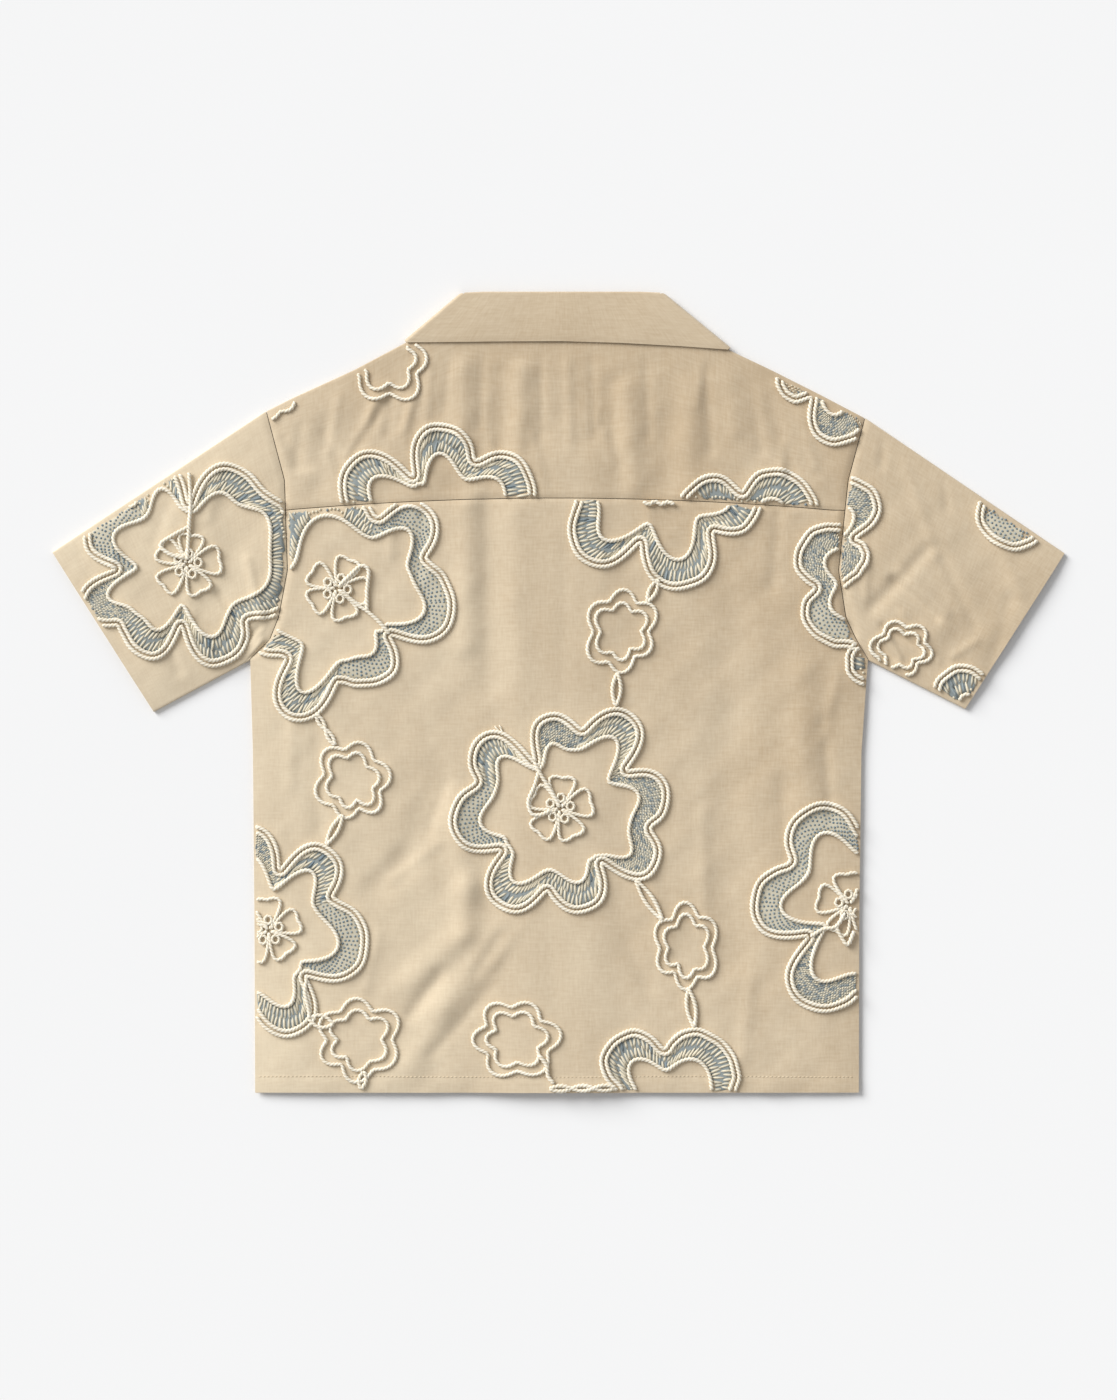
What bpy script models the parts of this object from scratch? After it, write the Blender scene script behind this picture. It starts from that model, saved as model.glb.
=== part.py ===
# Short-sleeved camp-collar shirt of khaki cotton with couched cord embroidery.
# It lies flat, face down: +Z is up, +Y runs to the collar, -X is the wearer's left.
# All driving sizes are in millimetres and become metres where a mesh is made.
from math import atan2, cos, exp, hypot, pi, radians, sin

import bmesh
import bpy
from mathutils import Vector
from mathutils.bvhtree import BVHTree

MM = 0.001
WALL = 1.2            # cloth wall
GAP = 0.3             # clearance between touching pieces
ARMHOLE_GAP = 0.5     # the same along the slanting armholes
FOLD_HEIGHT = 2.9     # height over a folded edge: two walls and the slot between them
FOLD_BULGE = 0.8      # how far a folded edge rounds outwards
FLOAT = 2.3           # how much higher the upper layer lies away from its edges
EDGE_ROUND = 13.0     # distance over which the upper layer rises from an edge

HEM_Y = -265.5
LAP = 12.5            # half the width of the buttoned lap
V_FOOT = 150.0        # where the front opening starts
FRONT_SEAM_DROP = 12.0
NECK_LEFT = -68.0
NECK_RIGHT = 72.0
SEAM_Y = 121.0         # yoke seam at the armholes
YOKE_ROWS = 6
ARMHOLE_BACK = (100, 81, 66, 50, 35, 22)
ARMHOLE_FRONT = (173, 150, 128, 105, 81, 50, 35, 22)
HEM_DROOP = 0.9
BUTTON_SIZE = 11.0
BUTTON_THICK = 2.0
BUTTON_YS = (128.0, 40.0, -48.0, -136.0)
STRIP_LIFT = BUTTON_THICK + GAP          # underside of the left placket
STRIP_TOP = STRIP_LIFT + WALL + GAP      # underside of the right placket over it
NECK_LIFT = WALL + GAP                   # the fronts lie on the collar wings and revers

# Side and armhole edges of the body.
BODY_EDGES = (
    # y, left x, right x
    (-265.5, -201.3, 199.3),
    (-150.0, -201.8, 199.6),
    (-40.0, -202.8, 201.0),
    (22.0, -204.6, 205.3),
    (35.0, -191.5, 197.5),
    (50.0, -185.5, 190.5),
    (81.0, -179.6, 185.6),
    (141.0, -181.6, 192.0),
    (186.0, -193.6, 204.2),
)

# Shoulder ridges and back neckline.
SHOULDER = (
    # x, y
    (-193.6, 186.0),
    (-174.7, 195.5),
    (-135.0, 213.5),
    (-102.0, 231.0),
    (-68.0, 248.0),
    (-30.0, 241.5),
    (2.0, 240.0),
    (34.0, 241.5),
    (72.0, 247.0),
    (114.0, 226.0),
    (141.6, 213.0),
    (171.5, 198.0),
    (203.0, 181.5),
)

# Sleeve ends in plan.
SLEEVES = {
    # side: shoulder point, underarm, upper cuff corner, lower cuff corner
    "left": ((-194.3, 186.0), (-205.0, 23.0), (-335.6, 92.5), (-269.0, -12.3)),
    "right": ((203.6, 181.0), (206.0, 21.6), (335.6, 91.9), (270.3, -10.3)),
}

# Long soft folds of the upper layer.
FOLDS = (
    # x0, y0, x1, y1, width, height
    (-63, 221, -64, 167, 7.0, 1.2),
    (-24, 214, -26, 148, 7.0, 1.3),
    (46, 201, 50, 138, 8.0, 1.2),
    (88, 204, 87, 141, 8.0, 1.1),
    (114, 217, 117, 174, 7.0, 0.8),
    (-155, 177, -158, 138, 8.0, -0.8),
    (-130, 204, -137, 164, 8.0, -0.8),
    (-38, 211, -39, 158, 6.0, -0.7),
    (35, 204, 35, 131, 6.0, -0.7),
    (72, 181, 70, 138, 7.0, -0.7),
    (-60, 124, -61, 32, 9.0, 1.4),
    (-28, 118, -26, -8, 9.0, 1.2),
    (-45, 124, -44, 5, 7.0, -0.7),
    (162, 12, 164, -71, 10.0, 1.1),
    (112, -25, 114, -177, 14.0, -0.9),
    (-79, -55, -103, -111, 9.0, -0.8),
    (-103, -111, -122, -128, 9.0, -0.8),
    (-71, -73, -60, -128, 9.0, 1.4),
    (-60, -128, -63, -160, 9.0, 1.4),
    (-63, -160, -98, -193, 9.0, 1.2),
    (-38, -160, -76, -209, 10.0, 1.2),
    (-76, -209, -98, -249, 10.0, 1.0),
    (-215, 115, -220, 62, 14.0, -0.8),
    (-280, 45, -262, 12, 12.0, 0.9),
    (270, 124, 290, 62, 12.0, -0.8),
    (214, 92, 253, 45, 12.0, 0.9),
)

# The collar as a strip, from the left wing over the back neck to the right wing.
COLLAR_STRIP = (
    # fold x, fold y, free x, free y, level: 1 on top, 0 at the turned edge, -1 underneath
    (-31.5, 201.5, -66.0, 187.0, -1),
    (-41.0, 220.0, -92.0, 182.0, -1),
    (-52.0, 241.0, -98.0, 207.0, -1),
    (-62.5, 262.5, -100.6, 231.6, -1),
    (-64.7, 265.5, -102.2, 233.9, 0),
    (-62.5, 264.9, -100.6, 232.2, 1),
    (-50.0, 265.5, -74.0, 232.4, 1),
    (-25.0, 265.5, -37.0, 232.8, 1),
    (2.0, 265.5, 2.0, 233.0, 1),
    (29.0, 265.5, 42.0, 231.8, 1),
    (54.0, 265.5, 82.0, 229.6, 1),
    (67.4, 264.9, 112.4, 227.4, 1),
    (69.6, 265.5, 114.2, 229.0, 0),
    (67.4, 262.5, 112.4, 226.4, -1),
    (55.0, 241.0, 104.0, 204.0, -1),
    (43.0, 220.0, 94.0, 180.0, -1),
    (33.0, 201.5, 68.0, 186.0, -1),
)

# Turned-back tops of the fronts, corner by corner.
REVERS = ((-30.0, 198.5), (-65.0, 184.0), (-79.0, 166.0), (-16.0, 136.0), (-2.0, 151.0))

# Flower rings with a double outer cord, a sewn band and a single inner cord.
RINGS = (
    # name, panel, x, y, radius, lobes, depth, turn in degrees
    ("ring_centre", "back_panel", 1, -79, 57, 8, 7.0, 12),
    ("ring_upper_left", "back_panel", -142, 63, 57, 8, 7.0, 5),
    ("ring_upper_right", "back_panel", 71, 137, 60, 8, 7.0, 20),
    ("ring_low_left", "back_panel", -199, -159, 58, 8, 6.5, 8),
    ("ring_low_right", "back_panel", 197, -142, 59, 8, 6.5, 16),
    ("ring_armhole", "back_panel", 206, 86, 38, 6, 5.0, 0),
    ("ring_hem", "back_panel", 73, -272, 36, 6, 4.0, 30),
    ("ring_yoke", "back_yoke", -78, 116, 55, 8, 6.0, 0),
    ("ring_shoulder", "back_yoke", 176, 212, 40, 6, 4.0, 10),
    ("ring_sleeve", "sleeve_left", -248, 86, 58, 8, 7.0, 15),
)

# Five-petal clovers inside the rings.
CLOVERS = (
    # name, panel, x, y, radius, turn in degrees
    ("clover_centre", "back_panel", 1, -77, 21, 90),
    ("clover_upper_left", "back_panel", -146, 70, 20, 70),
    ("clover_low_left", "back_panel", -177, -158, 19, 20),
    ("clover_low_right", "back_panel", 176, -141, 19, 200),
    ("clover_sleeve", "sleeve_left", -246, 87, 20, 80),
)

# Small flowers, each a double cord.
SMALL_FLOWERS = (
    # name, panel, x, y, radius, lobes, turn in degrees
    ("flower_upper", "back_panel", 41, 43, 17, 6, 0),
    ("flower_left", "back_panel", -137, -58, 17, 6, 20),
    ("flower_right", "back_panel", 85, -167, 17, 6, 10),
    ("flower_low_left", "back_panel", -126, -229, 18, 6, 15),
    ("flower_low_middle", "back_panel", -28, -229, 18, 6, 0),
    ("flower_yoke", "back_yoke", -112, 206, 15, 6, 30),
    ("flower_sleeve_top", "sleeve_right", 302, 96, 16, 6, 0),
    ("flower_sleeve_low", "sleeve_right", 262, 16, 14, 6, 10),
)

RING_WIDTH = 16.0
SMALL_WIDTH = 9.0
SMALL_DEPTH = 4.0
CORD_WIDTH = 4.2
SEWN_CLEAR = 0.45     # underside of the embroidery above the faceted cloth
SEWN_MARGIN = 3.0     # how far embroidery ends from its panel's edge

# Cross-sections of the raised work: across the width as a share, height above its underside.
RING_PROFILE = ((0.0, 0.0), (0.08, 1.2), (0.34, 1.2), (0.42, 0.5), (0.78, 0.5), (0.88, 1.2), (1.0, 0.0))
SMALL_PROFILE = ((0.0, 0.0), (0.2, 1.2), (0.5, 0.5), (0.8, 1.2), (1.0, 0.0))
CORD_PROFILE = ((0.0, 0.0), (0.5, 1.3), (1.0, 0.0))

CLOTH = ("khaki_cotton", (0.584, 0.468, 0.337), 0.9)
CORD = ("ivory_cord", (0.86, 0.78, 0.64), 0.75)
BUTTON = ("horn_button", (0.46, 0.34, 0.22), 0.4)


def along(table, at, column=1):
    """A table's column read between its rows, by the first column."""
    rows = sorted(table)
    if at <= rows[0][0]:
        return rows[0][column]
    for low, high in zip(rows, rows[1:]):
        if at <= high[0]:
            share = (at - low[0]) / (high[0] - low[0])
            return low[column] + share * (high[column] - low[column])
    return rows[-1][column]


def step(value, start, end):
    share = min(1.0, max(0.0, (value - start) / (end - start)))
    return share * share * (3 - 2 * share)


def mix(a, b, share):
    return a + (b - a) * share


def spread(start, end, count):
    return [mix(start, end, i / count) for i in range(count + 1)]


def from_segment(x, y, x0, y0, x1, y1):
    """Distance of a point from a segment."""
    dx, dy = x1 - x0, y1 - y0
    share = ((x - x0) * dx + (y - y0) * dy) / (dx * dx + dy * dy)
    share = min(1.0, max(0.0, share))
    return hypot(x - x0 - share * dx, y - y0 - share * dy)


def yoke_seam(x):
    return SEAM_Y + 8.0 * (1 - min(1.0, (x / 182.0) ** 2))


def folded_edges():
    """Every folded edge of the outline: shoulders, sleeve folds and sides."""
    edges = []
    for side, (shoulder, underarm, cuff_top, cuff_low) in SLEEVES.items():
        column = 1 if side == "left" else 2
        corner = (BODY_EDGES[0][column], HEM_Y)
        ridge = [point for point in SHOULDER if abs(point[0]) >= 68 and (point[0] < 0) == (side == "left")]
        edges += [(*a, *b) for a, b in zip(ridge, ridge[1:])]
        edges += [(*shoulder, *cuff_top), (*cuff_low, *underarm), (*underarm, *corner)]
    return edges


EDGES = folded_edges()


def neck_lift(x, y):
    """Height of the fronts' underside over the collar wings and revers."""
    return NECK_LIFT * step(y, 96, 122) * (1 - step(abs(x), 128, 158))


def upper_height(x, y):
    """Outer surface of the upper layer: yoke, back and upper sides of the sleeves."""
    edge = min(from_segment(x, y, *segment) for segment in EDGES)
    rise = 1 - exp(-edge / EDGE_ROUND)
    lap = 1 - step(abs(x), 18, 70)
    least = FOLD_HEIGHT + max(neck_lift(x, y), (STRIP_TOP + GAP) * lap * (1 - step(y, V_FOOT, V_FOOT + 40)))
    folds = sum(
        height * exp(-((from_segment(x, y, x0, y0, x1, y1) / width) ** 2))
        for x0, y0, x1, y1, width, height in FOLDS
    )
    droop = HEM_DROOP * exp(-(y - HEM_Y) / 8.0)
    under_collar = step(y, 214, 232) * (1 - step(abs(x), 100, 125))
    free = FOLD_HEIGHT + FLOAT * rise + folds * rise - droop * rise
    return max(mix(free, least, under_collar), least)


def principled(name, colour, roughness):
    material = bpy.data.materials.get(name)
    if material is None:
        material = bpy.data.materials.new(name)
        material.use_nodes = True
        shader = material.node_tree.nodes["Principled BSDF"]
        shader.inputs["Base Color"].default_value = (*colour, 1.0)
        shader.inputs["Roughness"].default_value = roughness
        material.diffuse_color = (*colour, 1.0)
    return material


def finish(name, bm, look, collection):
    """Makes an object of a closed mesh given in millimetres."""
    bmesh.ops.recalc_face_normals(bm, faces=bm.faces)
    bmesh.ops.triangulate(bm, faces=bm.faces)
    tree = BVHTree.FromBMesh(bm)
    bmesh.ops.scale(bm, vec=(MM, MM, MM), verts=bm.verts)
    mesh = bpy.data.meshes.new(name)
    bm.to_mesh(mesh)
    bm.free()
    mesh.materials.append(principled(*look))
    collection.objects.link(bpy.data.objects.new(name, mesh))
    return tree


def wall(name, columns, rows, outer, inner, look, collection, keep=None):
    """Cloth as a grid of outer points, backed by inner points and closed round its edges."""
    bm = bmesh.new()
    bmesh.ops.create_grid(bm, x_segments=columns, y_segments=rows, size=1.0)
    place = bm.verts.layers.int.new("place")
    for vert in bm.verts:
        column = round((vert.co.x + 1) / 2 * columns)
        row = round((vert.co.y + 1) / 2 * rows)
        vert[place] = column * 1000 + row
    if keep is not None:
        dropped = []
        for face in bm.faces:
            column = min(vert[place] // 1000 for vert in face.verts)
            row = min(vert[place] % 1000 for vert in face.verts)
            if not keep(column, row):
                dropped.append(face)
        bmesh.ops.delete(bm, geom=dropped, context="FACES")
    for vert in bm.verts:
        vert.co = outer(vert[place] // 1000, vert[place] % 1000)
    bmesh.ops.remove_doubles(bm, verts=bm.verts, dist=1e-4)
    skin = bmesh.ops.extrude_face_region(bm, geom=list(bm.faces), use_keep_orig=True)
    for vert in skin["geom"]:
        if isinstance(vert, bmesh.types.BMVert):
            vert.co = inner(vert[place] // 1000, vert[place] % 1000)
    return finish(name, bm, look, collection)


def below(point):
    return Vector((point.x, point.y, point.z - WALL))


def above(point):
    return Vector((point.x, point.y, point.z + WALL))


def make_back(collection):
    """Back below the yoke: rows from the hem to the seam, columns from side to side."""
    heights = spread(HEM_Y, 22, 14) + [*ARMHOLE_BACK[-2::-1], SEAM_Y - GAP]
    columns = 22

    def outer(column, row):
        level = heights[row]
        left = along(BODY_EDGES, level, 1)
        right = along(BODY_EDGES, level, 2)
        x = mix(left, right, column / columns)
        share = step(level, 50, SEAM_Y - GAP)
        y = level + share * (yoke_seam(x) - SEAM_Y)
        return Vector((x, y, upper_height(x, y)))

    def inner(column, row):
        return below(outer(column, row))

    return wall("back_panel", columns, len(heights) - 1, outer, inner, CLOTH, collection)


def ridge_columns(side):
    """Places along a shoulder ridge that the yoke and the front share, from the sleeve inwards."""
    if side == "left":
        return spread(SHOULDER[0][0], NECK_LEFT, 6)
    return spread(SHOULDER[-1][0], NECK_RIGHT, 6)


def tucked(x):
    """Place of a ridge point at the front seam, drawn in along the armhole."""
    column, end = (1, SHOULDER[0][1]) if x < 0 else (2, SHOULDER[-1][1])
    return x * along(BODY_EDGES, end - FRONT_SEAM_DROP, column) / along(BODY_EDGES, end, column)


def yoke_levels(side):
    """Heights of the yoke's rows along an armhole, from its seam to the shoulder point."""
    return spread(SEAM_Y, SHOULDER[0 if side == "left" else -1][1], YOKE_ROWS)


def make_yoke(collection):
    """Yoke from its seam to the shoulder ridges, folded over them to the front seam."""
    left, right = SHOULDER[0][0], SHOULDER[-1][0]
    tops = ridge_columns("left") + spread(NECK_LEFT, NECK_RIGHT, 6)[1:] + ridge_columns("right")[-2::-1]
    rows = YOKE_ROWS
    levels = list(zip(yoke_levels("left"), yoke_levels("right")))

    def upper(column, row):
        share = (tops[column] - left) / (right - left)
        level_left, level_right = levels[row]
        edge_left, edge_right = along(BODY_EDGES, level_left, 1), along(BODY_EDGES, level_right, 2)
        x = mix(edge_left, edge_right, share)
        y = mix(yoke_seam(x) + GAP / 2, along(SHOULDER, tops[column]), row / rows)
        return Vector((x, y, upper_height(x, y)))

    def outer(column, row):
        if row <= rows:
            return upper(column, row)
        ridge = upper(column, rows)
        lift = neck_lift(ridge.x, ridge.y)
        if row == rows + 1:
            return Vector((ridge.x + FOLD_BULGE * 0.45 * (1 if ridge.x > 0 else -1),
                           ridge.y + FOLD_BULGE * 0.9, mix(lift, ridge.z, 0.5)))
        if row == rows + 2:
            return Vector((ridge.x, ridge.y, lift))
        return Vector((tucked(ridge.x), ridge.y - FRONT_SEAM_DROP, lift))

    def inner(column, row):
        if row < rows:
            return below(outer(column, row))
        ridge = upper(column, rows)
        folded = abs(tops[column]) > 67
        inset = WALL if folded else 0.0
        lift = neck_lift(ridge.x, ridge.y)
        if row == rows:
            return Vector((ridge.x, ridge.y - inset, ridge.z - WALL))
        if row == rows + 1:
            middle = (ridge.z - WALL + lift + WALL) / 2
            return Vector((ridge.x, ridge.y - 0.5 * WALL, middle))
        if row == rows + 2:
            return Vector((ridge.x, ridge.y - inset, lift + WALL))
        return above(outer(column, row))

    def keep(column, row):
        neck = 6 <= column < 12
        return row < rows or not neck

    return wall("back_yoke", len(tops) - 1, rows + 3, outer, inner, CLOTH, collection, keep)


def make_front(side, collection):
    """One front, flat on the floor but for its placket and the part over the revers."""
    sign = 1 if side == "left" else -1
    column_of_edge = 1 if side == "left" else 2
    placket = STRIP_LIFT if side == "left" else STRIP_TOP
    inner_edge = (
        # y, x for the left front
        (HEM_Y, LAP),
        (-150.0, LAP),
        (-40.0, LAP),
        (30.0, LAP),
        (60.0, LAP),
        (95.0, LAP),
        (122.0, LAP),
        (V_FOOT - 4, 0.0),
        (178.0, -17.5),
        (205.0, -33.5),
        (236.0, -50.0),
    )
    outer_y = (HEM_Y, -150.0, -40.0, *ARMHOLE_FRONT[::-1])
    shares = (0.0, 0.2, 0.38, 0.54, 0.68, 0.8, 0.9, 1.0)
    ridge = ridge_columns(side) + [-50.0 * sign]

    def underside(column, row):
        y_in, x_in = inner_edge[row]
        y_out = outer_y[row]
        x_out = along(BODY_EDGES, y_out, column_of_edge)
        x_in *= sign
        if x_in * sign > 0:
            body_width = LAP + abs(x_out)
            ramp = (abs(x_out) - 30.0) / body_width
            stops = [ramp * i / 5 for i in range(6)] + [ramp + 14.0 / body_width, 1.0]
        else:
            stops = shares
        x = mix(x_out, x_in, stops[column])
        y = mix(y_out, y_in, stops[column])
        if row == len(outer_y) - 1:
            x = tucked(ridge[column])
            y = along(SHOULDER, ridge[column]) - FRONT_SEAM_DROP - GAP
            if column == len(ridge) - 1:
                y = y_in
        strip = placket * step(x * sign, -30.0, -16.0) * (1 - step(y, V_FOOT, V_FOOT + 25))
        return Vector((x, y, max(neck_lift(x, y), strip)))

    def top(column, row):
        return above(underside(column, row))

    return wall(f"front_{side}", 7, len(outer_y) - 1, underside, top, CLOTH, collection)


def make_sleeve(side, collection):
    """A flattened open tube: upper side, rounded folds and a flat under side."""
    shoulder, underarm, cuff_top, cuff_low = SLEEVES[side]
    column_of_edge = 1 if side == "left" else 2
    outward = -1 if side == "left" else 1
    stations = 8
    top_y, low_y = shoulder[1], ARMHOLE_BACK[-1]
    backs = yoke_levels(side)[::-1] + list(ARMHOLE_BACK)
    fronts = [top_y, *ARMHOLE_FRONT]
    shares = [(top_y - level) / (top_y - low_y) for level in backs]
    ring = [("up", share) for share in shares]
    ring += [("turn", 1.0)]
    ring += [("low", (top_y - level) / (top_y - low_y)) for level in fronts[::-1]]
    ring += [("turn", 0.0), ("up", 0.0)]

    def plan(station, share):
        y = mix(top_y, low_y, share)
        x = along(BODY_EDGES, y, column_of_edge) + outward * ARMHOLE_GAP
        end_x = mix(cuff_top[0], cuff_low[0], share)
        end_y = mix(cuff_top[1], cuff_low[1], share)
        return mix(x, end_x, station / stations), mix(y, end_y, station / stations)

    def fold_direction(share):
        top = Vector((cuff_top[0] - shoulder[0], cuff_top[1] - shoulder[1])).normalized()
        low = Vector((cuff_low[0] - underarm[0], cuff_low[1] - underarm[1])).normalized()
        if share < 0.5:
            return Vector((-top.y, top.x)) * (1 if top.x > 0 else -1)
        return Vector((low.y, -low.x)) * (1 if low.x > 0 else -1)

    def outer(column, row):
        kind, share = ring[column]
        x, y = plan(row, share)
        height = upper_height(x, y)
        if kind == "low":
            return Vector((x, y, 0.0))
        if kind == "turn":
            out = fold_direction(share) * FOLD_BULGE * 0.6
            return Vector((x + out.x, y + out.y, height / 2))
        return Vector((x, y, height))

    def inner(column, row):
        kind, share = ring[column]
        inset = 0.007 if kind != "turn" else 0.003
        x, y = plan(row, min(1 - inset, max(inset, share)))
        fold_x, fold_y = plan(row, share)
        if kind == "low":
            return Vector((x, y, WALL))
        if kind == "turn":
            return Vector((x, y, (upper_height(fold_x, fold_y) - WALL + WALL) / 2))
        return Vector((x, y, upper_height(fold_x, fold_y) - WALL))

    return wall(f"sleeve_{side}", len(ring) - 1, stations, outer, inner, CLOTH, collection)


def make_collar(yoke, collection):
    """Fall over the back neck and two front wings, with the stand folded under the fall."""
    across = 3
    fall_lift = 0.5

    def over_yoke(x, y):
        hits = [drop_on(yoke, x + dx, y + dy) for dx in (-5, 0, 5) for dy in (-4, 0, 4)]
        hits = [hit for hit in hits if hit is not None]
        return max(hits) if hits else NECK_LIFT + FOLD_HEIGHT

    top_of_fold = 2 * NECK_LIFT + FOLD_HEIGHT + 0.5

    def outer(column, row):
        fold_x, fold_y, free_x, free_y, level = COLLAR_STRIP[column]
        if row >= 2:
            share = (row - 2) / across
            x, y = mix(fold_x, free_x, share), mix(fold_y, free_y, share)
            if level < 0:
                return Vector((x, y, 0.0))
            height = max(over_yoke(x, y) + fall_lift + WALL, top_of_fold)
            if row == 2:
                y -= 0.8
            return Vector((x, y, height if level > 0 else height / 2))
        if row == 1:
            return Vector((fold_x, fold_y, top_of_fold - 1.6))
        return Vector((fold_x, along(SHOULDER, fold_x) + 2 * GAP, top_of_fold - 3.2))

    def inner(column, row):
        fold_x, fold_y, free_x, free_y, level = COLLAR_STRIP[column]
        point = outer(column, row)
        if row >= 2:
            if level < 0:
                return above(point)
            if level > 0:
                return Vector((point.x, point.y - (1.2 if row == 2 else 0), point.z - WALL))
            slope = WALL if fold_x < 0 else -WALL
            return Vector((point.x + slope * 0.7, point.y - WALL * 0.8, point.z))
        if row == 1:
            return Vector((point.x, point.y - WALL, point.z))
        return above(point)

    def keep(column, row):
        back = 5 <= column < 11
        return row >= 2 or back

    return wall("collar", len(COLLAR_STRIP) - 1, across + 2, outer, inner, CLOTH, collection, keep)


def make_revers(side, collection):
    sign = 1 if side == "left" else -1
    bm = bmesh.new()
    corners = [bm.verts.new((x * sign, y, 0.0)) for x, y in REVERS]
    face = bm.faces.new(corners)
    moved = bmesh.ops.extrude_face_region(bm, geom=[face], use_keep_orig=True)
    lifted = [item for item in moved["geom"] if isinstance(item, bmesh.types.BMVert)]
    bmesh.ops.translate(bm, vec=(0, 0, WALL), verts=lifted)
    finish(f"revers_{side}", bm, CLOTH, collection)


def make_buttons(collection):
    for number, y in enumerate(BUTTON_YS, 1):
        bm = bmesh.new()
        bmesh.ops.create_cone(bm, cap_ends=True, segments=20, depth=BUTTON_THICK,
                              radius1=BUTTON_SIZE / 2, radius2=BUTTON_SIZE / 2 - 0.5)
        bmesh.ops.translate(bm, vec=(0, y, BUTTON_THICK / 2), verts=bm.verts)
        finish(f"button_{number}", bm, BUTTON, collection)


def drop_on(tree, x, y):
    """Height of a panel's top under a point, or None past its edge."""
    hit = tree.ray_cast(Vector((x, y, 100.0)), Vector((0, 0, -1)))
    return hit[0].z if hit[0] is not None else None


def flower_radius(angle, radius, lobes, depth, turn):
    """Round lobes that meet in notches, a little uneven from lobe to lobe."""
    lobe = lobes * (angle - radians(turn)) / 2
    uneven = 0.02 * radius * (sin(2 * angle + radius) + 0.7 * sin(3 * angle + lobes))
    return radius + depth * (abs(cos(lobe)) - 0.5) + uneven


def clover_point(angle, x, y, radius, turn):
    """One line round five petals, with a small loop's swell at each notch."""
    reach = radius * (0.62 + 0.38 * abs(cos(2.5 * (angle - radians(turn)))) ** 0.7)
    return x + reach * cos(angle), y + reach * sin(angle)


def raised(name, tree, path, width, profile, look, collection, closed):
    """Raised work of one profile along a path, set on the panel's points and moved out."""
    count = len(path)
    stations = []
    for i, (x, y) in enumerate(path):
        ahead = path[(i + 1) % count] if closed or i + 1 < count else path[i]
        back = path[i - 1] if closed or i else path[i]
        direction = atan2(ahead[1] - back[1], ahead[0] - back[0]) + pi / 2
        across = cos(direction), sin(direction)
        points = []
        for share, height in profile:
            offset = width * (share - 0.5)
            px, py = x + across[0] * offset, y + across[1] * offset
            heights = [drop_on(tree, px + dx, py + dy) for dx in (-2, 0, 2) for dy in (-2, 0, 2)]
            if None in heights:
                points = None
                break
            points.append((px, py, max(heights) + SEWN_CLEAR, height))
        if points and clear_of_edge(tree, x, y, width / 2 + SEWN_MARGIN):
            stations.append(points)
        else:
            stations.append(None)
    if closed and None not in stations:
        loft(name, stations, True, look, collection)
        return 1
    if closed and None in stations:
        start = stations.index(None)
        stations = stations[start:] + stations[:start]
    runs, run = [], []
    for station in stations + [None]:
        if station is None:
            if len(run) >= 4:
                runs.append(run)
            run = []
        else:
            run.append(station)
    for number, run in enumerate(runs):
        suffix = "" if number == 0 else f"_{number + 1}"
        loft(name + suffix, run, False, look, collection)
    return len(runs)


def clear_of_edge(tree, x, y, reach):
    return all(
        drop_on(tree, x + reach * cos(i * pi / 6), y + reach * sin(i * pi / 6)) is not None
        for i in range(12)
    )


def loft(name, stations, closed, look, collection):
    """Closed body through the stations: the profile on top, one point under its middle."""
    bm = bmesh.new()
    rings = []
    for points in stations:
        ring = [bm.verts.new((x, y, ground + height)) for x, y, ground, height in points]
        rings.append(ring)
    pairs = list(zip(rings, rings[1:]))
    if closed:
        pairs.append((rings[-1], rings[0]))
    for a, b in pairs:
        for i in range(len(a)):
            j = (i + 1) % len(a)
            bm.faces.new((a[i], a[j], b[j], b[i]))
    if not closed:
        bm.faces.new(rings[0])
        bm.faces.new(rings[-1])
    finish(name, bm, look, collection)


def make_embroidery(panels, collection):
    for name, panel, x, y, radius, lobes, depth, turn in RINGS:
        count = lobes * 7
        angles = [2 * pi * i / count for i in range(count)]
        path = [
            (x + flower_radius(a, radius, lobes, depth, turn) * cos(a),
             y + flower_radius(a, radius, lobes, depth, turn) * sin(a))
            for a in angles
        ]
        raised(name, panels[panel], path, RING_WIDTH, RING_PROFILE, CORD, collection, True)
    for name, panel, x, y, radius, turn in CLOVERS:
        path = [clover_point(2 * pi * i / 40, x, y, radius, turn) for i in range(40)]
        raised(name, panels[panel], path, CORD_WIDTH, CORD_PROFILE, CORD, collection, True)
    for name, panel, x, y, radius, lobes, turn in SMALL_FLOWERS:
        count = lobes * 5
        path = []
        for i in range(count):
            a = 2 * pi * i / count
            reach = flower_radius(a, radius, lobes, SMALL_DEPTH, turn)
            path.append((x + reach * cos(a), y + reach * sin(a)))
        raised(name, panels[panel], path, SMALL_WIDTH, SMALL_PROFILE, CORD, collection, True)


def main():
    for obj in list(bpy.data.objects):
        bpy.data.objects.remove(obj, do_unlink=True)
    collection = bpy.data.collections.new("embroidered_shirt")
    bpy.context.scene.collection.children.link(collection)
    panels = {
        "back_panel": make_back(collection),
        "back_yoke": make_yoke(collection),
    }
    for side in ("left", "right"):
        panels[f"sleeve_{side}"] = make_sleeve(side, collection)
        make_front(side, collection)
        make_revers(side, collection)
    make_collar(panels["back_yoke"], collection)
    make_buttons(collection)
    make_embroidery(panels, collection)


main()
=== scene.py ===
from math import cos, pi, radians, sin

import bmesh
import bpy
import numpy as np
from mathutils import Matrix, Vector


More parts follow.
